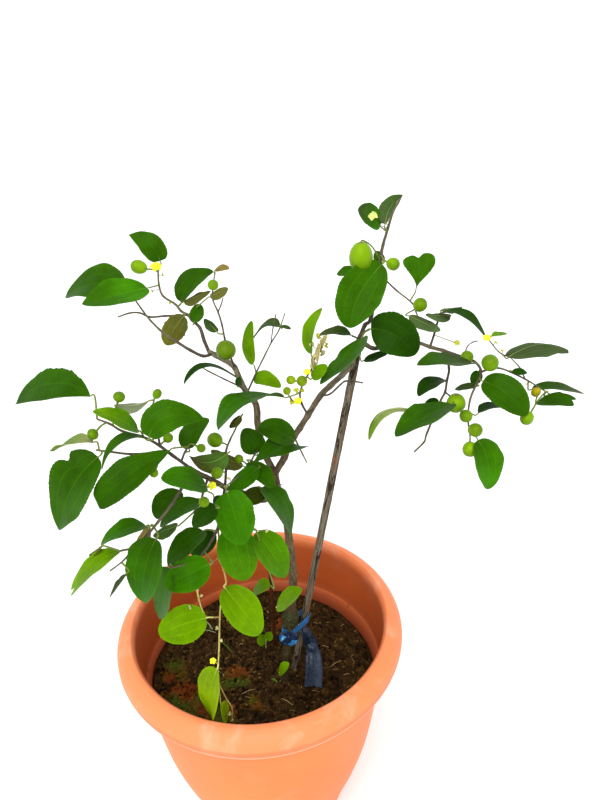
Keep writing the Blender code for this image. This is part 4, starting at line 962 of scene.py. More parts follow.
for i, (a, b) in enumerate(zip(left_edge, right_edge)):
    heading = left_edge[min(i + 1, len(left_edge) - 1)] - left_edge[max(i - 1, 0)]
    out = (b - a).cross(heading).normalized()
    if out.z < 0:
        out = -out
    row = []
    row_tints = []
    for v in (j / TAIL_COLUMNS for j in range(TAIL_COLUMNS + 1)):
        fold = 1 - abs(v - 0.52) / 0.52
        pleat = 0.10 * math.sin(v * 21 + i * 0.08) + 0.06 * math.sin(v * 47 + 2)
        at = a.lerp(b, v) + out * (TAIL_FOLD * (max(fold, 0) ** 1.2 + pleat))
        row.append(crumple(at, *TAIL_CREASES))
        row_tints.append(between(SLATE_BLUE, GREY_BLUE, clamp((v - 0.48) * 12)))
    rows.append(row)
    tints.append(row_tints)
add_sheet(tape, rows, FILM, tints)
tape.piece("tie_tape", plastic_film(), "tape_plastic", "tie_tape", 50)


# The leaves are firm ovals on short stalks, with three main veins from the base and a barely toothed edge.
# They're deep green and faintly glossy above, and dull and felted beneath, and paler the younger they are.
# Leaves drawn with the "dark" look have painted shade in their colour.

LEAF_SHARE = 0.62               # natural width of a leaf as a share of its length
LEAF_WIDEST = 0.45              # where along its length a leaf is widest
LEAF_ROUND = (0.50, 0.56)       # how its sides close at its base and tip: 1 is pointed and 0.3 is blunt
LEAF_THICKNESS = 0.34 * MM
LEAF_LEAST = 0.28 * MM          # half its width at its base and tip
STALK_RADII = (0.72, 0.50)      # millimetres, at the twig and at the blade
RIB_THIN = 0.12
RIB_SHARE = 0.72                # how much of the midrib stands out beneath
TOOTH_LENGTH = 2.6 * MM
TOOTH_DEPTH = 0.030             # as a share of half the leaf's width
RAGGED_LENGTH = 3 * MM
ROW_LENGTH = 0.60 * MM
SIDE_VEINS = 0.50               # where they run, between the midrib and the edge
PUCKER_LENGTH = 3.6 * MM
WAVE = 0.026                    # how far its edge swings, as a share of its width
SHEEN = (0.45, 0.80, 0.04)

LOOKS = {                       # the colours of a leaf's upper side and underside, in linear light
    # "dark" is painted shade: green darkened as though the leaf lay in the shadow of others
    "dark": ((0.0104, 0.0437, 0.0011), (0.032, 0.064, 0.014)),
    "deep": ((0.0220, 0.0831, 0.0006), (0.053, 0.105, 0.020)),
    "green": ((0.0304, 0.1362, 0.0005), (0.077, 0.166, 0.023)),
    "bright": ((0.0540, 0.1684, 0.0006), (0.112, 0.213, 0.022)),
    "light": ((0.0950, 0.2160, 0.0006), (0.140, 0.248, 0.022)),
    "young": ((0.115, 0.250, 0.0006), (0.150, 0.260, 0.010)),
    "lime": ((0.165, 0.280, 0.0010), (0.200, 0.310, 0.010)),
    "pale": ((0.220, 0.250, 0.080), (0.260, 0.290, 0.120)),
    "silver": ((0.060, 0.085, 0.030), (0.170, 0.200, 0.110)),
    "grey": ((0.030, 0.060, 0.010), (0.060, 0.096, 0.030)),
    "olive": ((0.046, 0.064, 0.005), (0.078, 0.084, 0.016)),
    "sere": ((0.120, 0.125, 0.010), (0.120, 0.120, 0.016)),
    "cream": ((0.420, 0.360, 0.150), (0.440, 0.400, 0.190)),
    "dry": ((0.180, 0.130, 0.014), (0.180, 0.135, 0.035)),
}


def unit(rows):
    return rows / np.linalg.norm(rows, axis=-1, keepdims=True)


def uneven(places, draw):
    """Noise between -1 and 1 at each of a column of places."""
    start = draw.uniform(0, 90)
    return np.array([[noise.noise(Vector((place, start, 0)))] for place in places[:, 0]])


def add_leaf(heap, root, start, half_way, end, normal, width, fold, look, draw, stalk_tint,
             widest=LEAF_WIDEST, ends=LEAF_ROUND, sides=(1, 1), notch=None, cleft=0.0, ragged=0.0):
    """A leaf whose midrib runs from start by half_way to end. `sides` widens its left and right halves, a
    notch is a bite out of one side, and a cleft one out of the tip."""
    start, half_way, end, normal = (np.array(p) for p in (start, half_way, end, normal))
    length = np.linalg.norm(end - start)
    rows = int(min(max(length / ROW_LENGTH, 16), 90))
    columns = 21 if length > 24 * MM else 13 if length > 12 * MM else 9
    s = np.linspace(0, 1 - 0.25 * cleft, rows)[:, None]
    u = np.linspace(-1, 1, columns)
    size = np.abs(u)
    bow = half_way - (start + end) / 2
    along = unit((end - start) + 4 * (1 - 2 * s) * bow)
    up = unit(normal - along * (along @ normal)[:, None])
    across = np.cross(along, up)
    twist = draw.uniform(-0.08, 0.08) * (s - 0.45)
    up, across = up * np.cos(twist) + across * np.sin(twist), across * np.cos(twist) - up * np.sin(twist)

    turned = s ** (math.log(0.5) / math.log(widest))
    round_off = np.where(turned < 0.5, *ends)
    half = np.sin(np.pi * np.minimum(turned, 1)) ** round_off * width / 2
    tooth = (s * length / TOOTH_LENGTH) % 1
    half = half * (1 - TOOTH_DEPTH * tooth ** 2 * (width > 5 * MM))
    half = half * (1 + 0.04 * uneven(s * 7, draw)) * (1 + ragged * uneven(s * length / RAGGED_LENGTH, draw))
    half = np.maximum(half, LEAF_LEAST)
    reach = np.where(u < 0, *sides) * half * size
    if notch:
        place, depth, side = notch
        bite = 1 - depth * np.exp(-((s - place) / 0.05) ** 2)
        reach = np.where(u * side > 0, reach * bite, reach)

    lift = math.tan(fold) * half * (0.45 * size + 0.55 * size ** 2)
    full = np.sin(np.pi * s) * width
    vein = np.exp(-(size / 0.06) ** 2) + 0.6 * np.exp(-((size - SIDE_VEINS) / 0.06) ** 2)
    phase = s * length / PUCKER_LENGTH - 1.9 * size + draw.random()
    pucker = np.sin(2 * np.pi * phase) * np.sin(np.pi * np.minimum(size * 1.9, 1.9) % np.pi)
    lift = lift + full * (0.004 * pucker - 0.012 * vein)
    for k in (1, 2):
        swings = [np.sin(2.6 * np.pi * k * s + draw.uniform(0, 6.3)) for half_leaf in range(2)]
        lift = lift + full * WAVE / k * size ** 2 * np.where(u < 0, *swings)
    pulled = cleft * s ** 8 * (np.exp(-(size / 0.35) ** 2) + 0.7 * size ** 4)
    at = (s - pulled)[:, :, None]
    grid = start + at * (end - start) + 4 * at * (1 - at) * bow
    grid = grid + across[:, None] * (np.sign(u) * reach)[:, :, None] + up[:, None] * lift[:, :, None]

    first, last = look if isinstance(look, tuple) else (look, look)
    mix = np.clip(s * 1.6 - 0.3, 0, 1)[:, :, None]
    bright = draw.uniform(0.85, 1.18)
    edge = 1 + 0.25 * size[:, None] ** 8
    tints = [(np.array(a) * (1 - mix) + np.array(b) * mix) * bright * edge
             for a, b in zip(LOOKS[first], LOOKS[last])]
    spots = np.stack(np.broadcast_arrays(s, u / 2 + 0.5), axis=2)
    add_sheet(heap, grid[:, ::-1], LEAF_THICKNESS, *tints, spots[:, ::-1])

    rib = [Vector(p) for p in (grid[:, columns // 2] - up * (0.22 * MM))[:int(rows * RIB_SHARE):3]]
    foot = Vector(start)
    stalk = (foot - root).length
    bend = foot - Vector(along[0]) * min(stalk * 0.4, 3 * MM)
    arc = curved([root, bend, foot], 5)[:-1] if stalk > 2 * MM else [root]
    radii = tapered(*STALK_RADII, len(arc) + 1)[:-1] + tapered(STALK_RADII[1], RIB_THIN, len(rib))
    rib_tint = tuple(1.3 * c for c in tints[1][0, 0])
    colours = [stalk_tint] * len(arc)
    colours += [between(stalk_tint, rib_tint, min(1, k / 5)) for k in range(len(rib))]
    add_bar(heap, arc + rib, radii, 7, colours)


def leaf_finish(name, gloss):
    """The skin of a leaf: pale sunken veins and a puckered gloss above, raised veins and felt beneath."""
    skin = Skin(name)
    place = skin.place
    tint = skin.own("tint")
    under = skin.own("underside", 2)
    spot = skin.node("UVMap", {"uv_map": "leaf"})
    s = spot.axis(0)
    side = abs(spot.axis(1) * 2 - 1)
    wobble = place.grain(210, 2) - 0.5
    midrib = (side * (1 + 1.6 * s)).rises(0.060, 0.012)
    outer = abs(side - SIDE_VEINS + 0.06 * wobble).rises(0.034, 0.006) * s.rises(0.97, 0.70)
    ribs = abs(skin.math("FRACT", s * 11 - side * 1.9 + 0.3 * wobble) - 0.5).rises(0.08, 0.01)
    net = place.cells(620, "DISTANCE_TO_EDGE").rises(0.10, 0.0)
    veins = skin.math("MAXIMUM", midrib, skin.math("MAXIMUM", outer * 0.75, ribs * 0.16))
    mottle = place.grain(130, 3, 0.6)
    colour = tint.scaled((0.62 + 0.55 * mottle) * (0.55 + 0.90 * place.grain(42, 2)))
    colour = (veins * 0.42).mix(colour, tint.scaled(1.9))
    colour = (net * (0.10 + 0.10 * under)).mix(colour, tint.scaled(1.9))
    relief = (net * 0.10 + veins * 0.7) * (2 * under - 1) + place.grain(1400, 3) * 0.15
    return skin.worn(colour, 0.40 + 0.16 * mottle + 0.34 * under, Normal=relief.bump(0.35, 0.0008),
                     Coat_Weight=gloss * (1 - under), Coat_Roughness=0.25, Specular_IOR_Level=0.045,
                     Specular_Tint=SHEEN)


LEAF_FINISH = leaf_finish("leaf", 0.03)
YOUNG_LEAF_FINISH = leaf_finish("young_leaf", 0.02)


# The fruits are young jujubes, egg-shaped and waxy, each hung by its stalk from a small brown collar. The
# flowers are yellow stars of five pointed sepals and five narrow petals round a fleshy disc.

FRUIT_GREEN = (0.165, 0.315, 0.001)
FRUIT_OLIVE = (0.098, 0.165, 0.003)
FRUIT_LEAFY = (0.105, 0.225, 0.001)
FRUIT_LIME = (0.260, 0.380, 0.001)
FRUIT_AMBER = (0.450, 0.340, 0.004)
FRUIT_SHADOW = (0.050, 0.120, 0.001)
FRUIT_SHEEN = (0.8, 0.9, 0.1)
COLLAR_BROWN = (0.130, 0.120, 0.025)
PETAL_YELLOW = (0.780, 0.800, 0.010)
PETAL_PALE = (0.560, 0.640, 0.180)
BUD_CREAM = (0.480, 0.440, 0.190)
BUD_YELLOW = (0.420, 0.450, 0.020)
POLLEN = (1, 1, 0.6)
FRUIT_RINGS = 19
FRUIT_SIDES = 26
SEPAL = (1.0, 0.42)             # length and half width, as shares of the flower's radius
PETAL = (0.72, 0.22)
PETAL_THICKNESS = 0.22 * MM


def fruit_skin():
    skin = Skin("fruit_skin")
    tint = skin.own("tint")
    mottle = skin.place.grain(150, 3)
    dots = skin.place.cells(640).rises(0.20, 0.08)
    colour = (dots * 0.25).mix(tint.scaled(0.76 + 0.48 * mottle), tint.scaled(1.6))
    relief = mottle + skin.place.grain(900, 2) * 0.3
    return skin.worn(colour, 0.34 + 0.16 * mottle, Normal=relief.bump(0.12, 0.0008), Coat_Weight=0.05,
                     Coat_Roughness=0.16, Specular_IOR_Level=0.3, Specular_Tint=FRUIT_SHEEN)


def petal_skin():
    skin = Skin("petal_skin")
    colour = skin.own("tint").scaled(0.8 + 0.4 * skin.place.grain(700, 2))
    return skin.worn(colour, 0.5 + 0.2 * skin.place.grain(500, 2), Specular_IOR_Level=0.15)


FRUIT_FINISH = fruit_skin()
PETAL_FINISH = petal_skin()


def add_fruit(heap, place, axis, radius, along, green):
    """A fruit whose stalk end lies towards axis. Its lower half is a little fuller and darker."""
    turn = axis.to_track_quat("Z", "Y")
    points = []
    tints = []
    for i in range(1, FRUIT_RINGS + 1):
        polar = math.pi * i / (FRUIT_RINGS + 1)
        height = math.cos(polar)
        broad = math.sin(polar) * (1 - 0.06 * height) * radius
        dimple = 0.10 * math.exp(-(polar / 0.28) ** 2) - 0.04 * math.exp(-((math.pi - polar) / 0.2) ** 2)
        low = between(green, FRUIT_SHADOW, 0.25 + 0.45 * max(-0.5, -height))
        tints += [between(low, COLLAR_BROWN, min(1, math.exp(-(polar / 0.20) ** 2) * 1.2))] * FRUIT_SIDES
        for local in map(Vector, ring(broad, FRUIT_SIDES, (height - dimple) * along)):
            local *= 1 + 0.02 * noise.noise(local * 180 + place * 50)
            points.append(place + turn @ local)
    faces = [(face[0], *face[:0:-1]) for face in ring_faces(FRUIT_RINGS, FRUIT_SIDES)]
    top = len(points)
    last = top - FRUIT_SIDES
    for k in range(FRUIT_SIDES):
        n = (k + 1) % FRUIT_SIDES
        faces += [(k, n, top), (last + n, last + k, top + 1)]

    def on_axis(*shares):
        return [place + turn @ Vector((0, 0, along * share)) for share in shares]

    heap.add(points + on_axis(0.90, -0.965), faces, tints + [COLLAR_BROWN] * 2)
    add_bar(heap, on_axis(-0.93, -1.03, -1.10), tapered(0.35, 0.15, 3), 6, COLLAR_BROWN)
    add_bar(heap, on_axis(0.86, 0.95, 0.99), [radius * 0.24, radius * 0.20, 0.5 * MM], 12, COLLAR_BROWN)


def add_flower(heap, place, radius, facing, tint, draw):
    """Sepals and petals by turns, with a stamen before each petal, round the disc."""
    side = facing.orthogonal().normalized()
    beside = facing.cross(side)
    spin = draw.uniform(0, 6.3)
    for k in range(10):
        angle = spin + math.pi * k / 5
        out = side * math.cos(angle) + beside * math.sin(angle)
        over = facing.cross(out)
        reach, broad = (radius * share for share in (PETAL if k % 2 else SEPAL))
        rows = []
        for t in (i / 7 for i in range(8)):
            half = broad * math.sin(math.pi * (0.12 + 0.88 * t)) ** 0.8 + 0.12 * MM
            middle = place + out * (reach * (0.12 + 0.88 * t))
            middle += facing * (radius * 0.28 * math.sin(math.pi * t) ** 2)
            rows.append([middle + over * half * v + facing * (0.18 * half * v * v)
                         for v in (-1, -0.5, 0, 0.5, 1)])
        add_sheet(heap, rows, PETAL_THICKNESS, shade(tint, draw, 0.12))
        if k % 2:
            line = [place + (out * 0.2 + facing * 0.1) * radius, place + (out * 0.42 + facing * 0.5) * radius]
            add_bar(heap, line, [0.16 * MM, 0.24 * MM], 6, between(tint, POLLEN, 0.4))
    disc = [place + facing * radius * share for share in (-0.12, 0.16, 0.24)]
    add_bar(heap, disc, [radius * 0.30, radius * 0.34, radius * 0.12], 14, shade(tint, draw, 0.1))


# The sprays: each leafy shoot with its twigs, leaves, fruits and flowers, from the top right round to the
# left, then down the front. Each is told by its twigs' routes and by where its leaves begin and end.

TWIG_SLIM = 0.84                # the part's twigs are stouter, as its solids must be
TWIG_STEPS = 6
STUB_CLEAR = 2                  # millimetres of a twig without leaf stalks, beyond its first stub
LOOK_BACK = 0.15                # a stalk comes from behind its leaf, by this share of the leaf's length
STALK_ARCH = 0.24               # how far an upright fruit's stalk stands over it, as a share of its length
FRUIT_STALK = (0.62, 0.80)      # millimetres, at the twig and at the fruit
FLOWER_STALK = 0.38 * MM
BUD_STALK = 0.30 * MM
AIMS = {"up": Vector((0, 0, 1)), "left": Vector((-1, 0, 0)), "right": Vector((1, 0, 0))}
TWIG_LOOKS = {                  # at a twig's base and at its tip, and on the leaf stalks
    "bark": ((0.062, 0.048, 0.034), (0.120, 0.105, 0.052), (0.115, 0.150, 0.030)),
    "green": ((0.170, 0.180, 0.050), (0.200, 0.300, 0.050), (0.220, 0.320, 0.050)),
    "cream": ((0.400, 0.230, 0.075), (0.380, 0.420, 0.100), (0.430, 0.440, 0.130)),
}
TWIG_FINISH = bark("twig_bark", fissures=0.35)


class Spray:
    """One leafy spray. What grows on it is gathered into a piece for each kind."""

    def __init__(self, name, look="deep", twig="bark", young=False):
        self.name = name
        self.look = look
        self.young = young
        self.base_tint, self.tip_tint, self.stalk_tint = TWIG_LOOKS[twig]
        self.wood = []              # (pixel x, pixel y, depth, place) along every twig
        self.twigs = Gathered()
        self.leaves = Gathered()
        self.fruits = Gathered()
        self.flowers = Gathered()
        self.draw = random.Random(name)

    def twig(self, route, thick, thin, stub=None):
        """A twig along (pixel x, pixel y, depth) points, with radii in millimetres. The spray's first one has
        a stub, in millimetres, where no leaf roots."""
        line = traced(route, TWIG_STEPS)
        last = len(line) - 1
        radii = [radius * TWIG_SLIM for radius in budded(tapered(thick, thin, len(line)), TWIG_STEPS, 0.16)]
        tints = [between(self.base_tint, self.tip_tint, (i / last) ** 1.5) for i in range(len(line))]
        add_bar(self.twigs, line, radii, 12 if thick > 1.3 else 9, tints, knobs=0.08)
        skip = 0 if stub is None else (stub + STUB_CLEAR) * MM
        for k, (a, b) in enumerate(zip(route, route[1:])):
            count = max(1, int(math.hypot(b[0] - a[0], b[1] - a[1]) / 3))
            for t in (i / count for i in range(count + 1)):
                point = between(a, b, t)
                if (sight(*point) - line[0]).length >= skip:
                    low = min(int((k + t) * TWIG_STEPS), last - 1)
                    self.wood.append((*point, line[low].lerp(line[low + 1], (k + t) * TWIG_STEPS - low)))

    def nearest(self, x, y):
        """The depth and place of the wood that shows nearest to a pixel."""
        return min(self.wood, key=lambda point: math.hypot(point[0] - x, point[1] - y))[2:]

    def leaf(self, base, tip, seen, reach=0, shift=0, middle=None, rise=0.09, fold=12, under=False,
             toward="up", share=LEAF_SHARE, look=None, **form):
        """A leaf from pixel `base` by `middle` to `tip`, `seen` pixels wide. Its tip is `reach` mm farther
        than its base, and `shift` moves the whole leaf away. It turns about its length until its natural
        width looks as narrow as seen, its upper side going `toward`. Its middle stands up by `rise`, as a
        share of its length. `under` shows the underside."""
        depth, root = self.nearest(*[base[i] - (tip[i] - base[i]) * LOOK_BACK for i in range(2)])
        start = sight(*base, depth + shift)
        end = sight(*tip, depth + shift + reach)
        length = (end - start).length
        axis = (end - start).normalized()
        centre = middle or ((base[0] + tip[0]) / 2, (base[1] + tip[1]) / 2)
        risen = rise * length / MM
        half_way = sight(*centre, depth + shift + reach / 2 + (risen if under else -risen))
        seen_width = seen * pixel_size(half_way)
        width = max(share * length, seen_width)
        turn = math.acos(min(1.0, seen_width / width))
        to_eye = (EYE - half_way).normalized()
        normal = (to_eye - axis * to_eye.dot(axis)).normalized()
        side = axis.cross(normal)
        sense = 1 if side.dot(AIMS[toward]) >= 0 else -1
        normal = normal * math.cos(turn) + side * (math.sin(turn) * sense)
        add_leaf(self.leaves, root, start, half_way, end, -normal if under else normal, width,
                 math.radians(fold), look or self.look, self.draw, self.stalk_tint, **form)

    def fruit(self, centre, across, along=None, shift=0, hang=None, green=FRUIT_GREEN, upright=False):
        """A fruit at pixel `centre`, sized in pixels. Its stalk comes from the wood nearest to it or to pixel
        `hang`, and arches over it where it is upright."""
        depth, root = self.nearest(*(hang or centre))
        place = sight(*centre, depth + shift)
        size = pixel_size(place)
        along = (along or across * 1.06) * size / 2
        far = (root - place).length > 3 * MM
        axis = Vector((0, 0, 1)) if upright or not far else (root - place).normalized()
        green = shade(green, self.draw, 0.15)
        add_fruit(self.fruits, place, axis, across * size / 2, along, green)
        if far:
            cup = place + axis * along * 0.93
            rise = Vector((0, 0, 1)) * (cup - root).length * 0.10
            over = cup + axis * along * STALK_ARCH + (root - cup) * 0.1
            arch = [(root + over) / 2 + rise, over] if upright else [(root + cup) / 2 + rise]
            line = curved([root, *arch, cup], 6)
            radii = tapered(*FRUIT_STALK, len(line))
            add_bar(self.fruits, line, radii, 8, between(self.stalk_tint, green, 0.3))

    def hang_by(self, root, place, radius):
        """A thin stalk from the twig to what it carries."""
        if (root - place).length > 1 * MM:
            add_bar(self.flowers, curved([root, place], 4), [radius] * 5, 7, self.stalk_tint)

    def flower(self, centre, across, shift=-2, tint=PETAL_YELLOW):
        depth, root = self.nearest(*centre)
        place = sight(*centre, depth + shift)
        facing = ((EYE - place).normalized() + Vector((0, 0, 1))).normalized()
        radius = across * pixel_size(place) / 2
        add_flower(self.flowers, place, radius, facing, tint, self.draw)
        self.hang_by(root, place - facing * radius * 0.1, FLOWER_STALK)

    def buds(self, centres, across, tint=BUD_CREAM, shift=-1):
        """Flower buds and folded young leaves, each a small lump on a thin stalk."""
        for centre in centres:
            depth, root = self.nearest(*centre)
            place = sight(*centre, depth + shift)
            size = across * pixel_size(place)
            for k in range(3):
                aside = Vector(self.draw.uniform(-0.3, 0.3) for axis in range(3)) * size
                add_crumb(self.flowers, self.draw, place + aside, size * 0.8, shade(tint, self.draw, 0.25))
            self.hang_by(root, place, BUD_STALK)

    def finish(self):
        foliage = "young_foliage" if self.young else "foliage"
        blade = YOUNG_LEAF_FINISH if self.young else LEAF_FINISH
        for kind, surface, slot in (
            ("twigs", TWIG_FINISH, foliage if self.young else "bark"), ("leaves", blade, foliage),
            ("fruits", FRUIT_FINISH, foliage), ("flowers", PETAL_FINISH, foliage),
        ):
            heap = getattr(self, kind)
            if heap.count:
                heap.piece(self.name.replace("spray_", "") + "_" + kind, surface, slot, self.name)


# The crown of the right limb, with the largest fruit
spray = Spray("spray_crown")
spray.twig(((361, 335, 9), (365, 325, 10), (371, 318, 11), (376, 285, 16), (381, 255, 22), (383, 245, 26),
    (388, 228, 30), (393, 212, 36), (398, 203, 40), (402, 195, 44)), 2.3, 0.9, stub=8)
spray.twig(((378, 270, 19), (384, 278, 14), (396, 290, 8), (412, 303, 2), (416, 312, 0), (419, 320, -2)),
    0.9, 0.7)
spray.leaf((385, 224), (402, 195), 13, -4, -6, (390, 207), under=True, toward="right", fold=20,
    look=("grey", "deep"))
spray.leaf((380, 226), (358, 209), 20, -14, -4, (368, 215), fold=20, look=("green", "grey"))
spray.leaf((382, 265), (376, 251), 11, 6, 6)
spray.leaf((354, 269), (337, 274), 9, 6, 2)
spray.leaf((382, 264), (351, 328), 45, -24, -24, (358, 297), rise=0.06)
spray.leaf((416, 289), (418, 254), 32, 14, 0, (419, 270), fold=18, look="deep", widest=0.68,
    ends=(0.9, 0.3), cleft=0.12)
spray.leaf((409, 316), (440, 331), 12, -18, -6, under=True, share=0.45, look="grey")
spray.fruit((361, 257), 24, 31, shift=-20, upright=True)
spray.fruit((393, 264), 13, shift=-6)
spray.fruit((420, 305), 14, shift=-4)
spray.flower((372, 216), 12, shift=-16, tint=PETAL_PALE)
spray.buds(((377, 222), (366, 221), (383, 262)), 3.2, PETAL_PALE)
spray.finish()

# Leaves round the fork of the right limb
spray = Spray("spray_right_fork")
spray.twig(((357, 345, 8), (359, 339, -7), (363, 333, -12), (370, 329, -16)), 1.5, 1.1, stub=7)
spray.twig(((359, 339, -7), (355, 337, -12), (352, 336, -14)), 1.0, 0.8)
spray.leaf((371, 329), (415, 355), 42, -10, -4, (395, 335), look="dark")
spray.leaf((362, 338), (320, 384), 16, -26, -6, (348, 360), toward="left")
spray.leaf((351, 335), (318, 336), 9, 8, 0, (335, 332), look=("dark", "olive"))
spray.leaf((364, 360), (389, 351), 8, -4, -2, (378, 357), look="dark")
spray.finish()

# The yellow-green cluster in the middle, with flower buds
spray = Spray("spray_middle")
spray.twig(((308, 415, -12), (302, 404, -24), (300, 393, -32), (305, 380, -36), (311, 370, -38)), 1.2, 0.8,
    stub=8)
spray.twig(((311, 370, -38), (318, 350, -34), (326, 338, -30)), 0.8, 0.6)
spray.twig(((302, 404, -24), (294, 402, -30), (289, 396, -34)), 0.9, 0.8)
spray.leaf((311, 354), (322, 308), 12, 14, 2, (310, 331), toward="left", share=0.45,
    look=("light", "young"))
spray.leaf((312, 378), (327, 365), 13, -4, -4, look="light")
spray.leaf((284, 397), (218, 430), 17, -38, -10, (247, 400), look=("deep", "green"), widest=0.6,
    ends=(0.6, 0.4))
spray.fruit((302, 381), 11, 12, shift=-5, green=FRUIT_LIME)
spray.fruit((291, 380), 9, green=FRUIT_LIME)
spray.fruit((287, 391), 8, shift=-6, green=FRUIT_LIME)
spray.flower((298, 401), 9, shift=-8)
spray.flower((307, 372), 8, shift=-6)
spray.buds(((313, 366), (316, 356), (319, 347), (315, 372), (321, 341), (322, 353), (312, 345)), 5.6,
    BUD_CREAM)
spray.leaf((317, 362), (320, 344), 5, 0, -2, look="cream")
spray.leaf((320, 351), (327, 335), 5, 0, -2, look="cream")
spray.leaf((315, 371), (311, 358), 5, 0, -2, look="cream")
spray.buds(((320, 344), (325, 338), (327, 345), (318, 336), (296, 391), (303, 391), (291, 402)), 5.2,
    BUD_YELLOW)
spray.finish()

# The side limb's twigs: one up, one down, one with most of the fruit, and the far end
spray = Spray("spray_side_up")
spray.twig(((430, 347, -14), (434, 335, -8), (437, 324, -4), (441, 315, -1), (450, 315, 0)), 1.2, 0.8,
    stub=8)
spray.leaf((450, 316), (427, 316), 9, -12, -2, under=True, look="grey")
spray.leaf((441, 313), (486, 339), 8, -18, -2, (466, 316), share=0.36, look="dark")
spray.leaf((442, 311), (462, 307), 6, 10, 2, under=True, look="dark")
spray.flower((457, 343), 7, shift=-2, tint=BUD_YELLOW)
spray.finish()

spray = Spray("spray_side_down")
spray.twig(((445, 351, -17), (449, 368, -26), (447, 380, -32), (445, 392, -38), (440, 402, -42),
    (427, 433, -50), (424, 442, -52), (414, 452, -54)), 1.3, 0.9, stub=8)
spray.twig(((445, 392, -38), (450, 396, -42), (455, 400, -45)), 0.9, 0.7)
spray.leaf((451, 404), (395, 436), 24, -24, -12, (423, 418))
spray.leaf((412, 410), (369, 440), 7, -16, 8, (382, 413), under=True, share=0.32, look=("pale", "light"))
spray.leaf((445, 380), (418, 396), 14, -12, -2, (430, 384), look="dark")
spray.leaf((439, 402), (425, 403), 9, 8, 5, look="dark")
spray.fruit((456, 403), 19, shift=-2)
spray.fruit((416, 408), 9, shift=2)
spray.finish()

spray = Spray("spray_fruiting")
spray.twig(((445, 351, -17), (462, 357, -24), (475, 362, -30), (481, 372, -36), (475, 387, -44),
    (470, 400, -50), (468, 418, -56), (470, 436, -60)), 1.5, 0.8, stub=10)
spray.twig(((481, 372, -36), (490, 369, -40), (498, 368, -44), (506, 370, -45)), 1.1, 0.9)
spray.twig(((464, 358, -25), (467, 347, -27), (473, 342, -28), (478, 341, -29)), 0.6, 0.6)
spray.leaf((473, 363), (417, 365), 14, -14, -10, (445, 362), look=("grey", "deep"))
spray.leaf((483, 381), (527, 415), 32, -20, -6, (507, 394))
spray.leaf((479, 371), (473, 385), 12, -4, 8)
spray.leaf((477, 386), (455, 389), 7, 8, 2, look="grey")
spray.leaf((478, 440), (489, 489), 28, -10, -4, (488, 463), look=("deep", "green"))
spray.leaf((478, 413), (509, 408), 8, 10, 0, (492, 407), look="dark")
spray.fruit((467, 357), 13, 10, shift=-6)
spray.fruit((490, 363), 17, 19, shift=-10)
spray.fruit((466, 416), 13, shift=-5)
spray.fruit((475, 430), 14, 16, shift=-6)
spray.fruit((470, 449), 15, shift=-4)
spray.finish()

spray = Spray("spray_far_end")
spray.twig(((506, 370, -45), (525, 379, -48), (540, 388, -47), (551, 395, -46)), 0.9, 0.6, stub=0)
spray.twig(((525, 379, -48), (520, 368, -42), (511, 358, -38)), 0.7, 0.6)
spray.twig(((511, 358, -38), (499, 352, -34), (489, 340, -30)), 0.6, 0.6)
spray.leaf((509, 357), (568, 350), 13, 14, 0, (540, 345), under=True, look="grey", ends=(0.5, 0.35))
spray.leaf((512, 371), (527, 373), 7, -6, -4, look="dark")
spray.leaf((532, 389), (584, 394), 8, 8, 4, (557, 388), share=0.36, look=("deep", "grey"))
spray.leaf((546, 396), (576, 399), 7, -10)
spray.leaf((538, 402), (574, 405), 14, -20, -8, (556, 401))
spray.leaf((492, 336), (506, 333), 5, 6, look="light")
spray.fruit((527, 418), 13, 15, shift=-14)
spray.fruit((536, 392), 9, 11, shift=-3, green=FRUIT_AMBER)
spray.flower((487, 338), 9, shift=0)
spray.buds(((496, 342), (503, 350), (527, 384), (547, 391)), 2.8, BUD_YELLOW)
spray.finish()

# The two ends of the left limb
spray = Spray("spray_left_top")
spray.twig(((209, 352, -2), (204, 340, 4), (200, 328, 10), (192, 320, 16), (188, 315, 20), (181, 311, 24),
    (175, 304, 28), (163, 296, 34), (159, 285, 40), (158, 272, 44)), 1.9, 0.9, stub=8)
spray.twig(((188, 315, 20), (165, 316, 22), (150, 317, 22), (140, 313, 22), (130, 313, 22), (118, 317, 22)),
    1.1, 0.8)
spray.leaf((160, 261), (129, 235), 24, 6, 2, (149, 244), widest=0.38, ends=(0.45, 0.8))
spray.leaf((147, 288), (82, 304), 27, -24, -20, (115, 295), look=("green", "deep"), ends=(0.5, 0.75))
spray.leaf((181, 302), (213, 271), 19, 14, 4, (191, 283), fold=18)
spray.leaf((184, 302), (210, 292), 9, -10, -2, (196, 297), under=True, look="olive")
spray.leaf((210, 297), (228, 289), 10, -4, -12, under=True, look="olive")
spray.leaf((194, 322), (200, 304), 14, 10, -6)
spray.leaf((184, 316), (166, 345), 23, -16, -4, (174, 330), rise=0.16, under=True, look=("olive", "sere"),
    ragged=0.1)
spray.fruit((139, 267), 14, 17, shift=-4)
spray.flower((156, 267), 12, shift=-8)
spray.buds(((162, 275), (152, 291), (170, 303)), 3.0, BUD_YELLOW)
spray.finish()

spray = Spray("spray_left_low")
spray.twig(((212, 354, -4), (203, 356, -12), (190, 350, -14), (177, 342, -12), (168, 336, -8),
    (160, 330, -2), (150, 320, 5), (143, 311, 11), (133, 297, 18)), 1.7, 0.8, stub=8)
spray.leaf((122, 292), (66, 296), 31, 20, 6, (95, 283))
spray.finish()

spray = Spray("spray_left_inner")
spray.twig(((235, 368, -14), (229, 353, -26), (225, 340, -32), (222, 325, -36), (218, 312, -38),
    (213, 300, -40), (213, 286, -36), (215, 273, -32)), 1.1, 0.6, stub=8)
spray.twig(((218, 312, -38), (221, 305, -37), (223, 298, -36)), 0.6, 0.6)
spray.leaf((217, 332), (204, 319), 9, 6, under=True, look="dark")
spray.leaf((215, 271), (229, 269), 6, -4, -2, (221, 267), under=True, look="dry")
spray.fruit((226, 350), 20, shift=-13, green=FRUIT_OLIVE)
spray.fruit((213, 285), 11, shift=-4)
spray.finish()

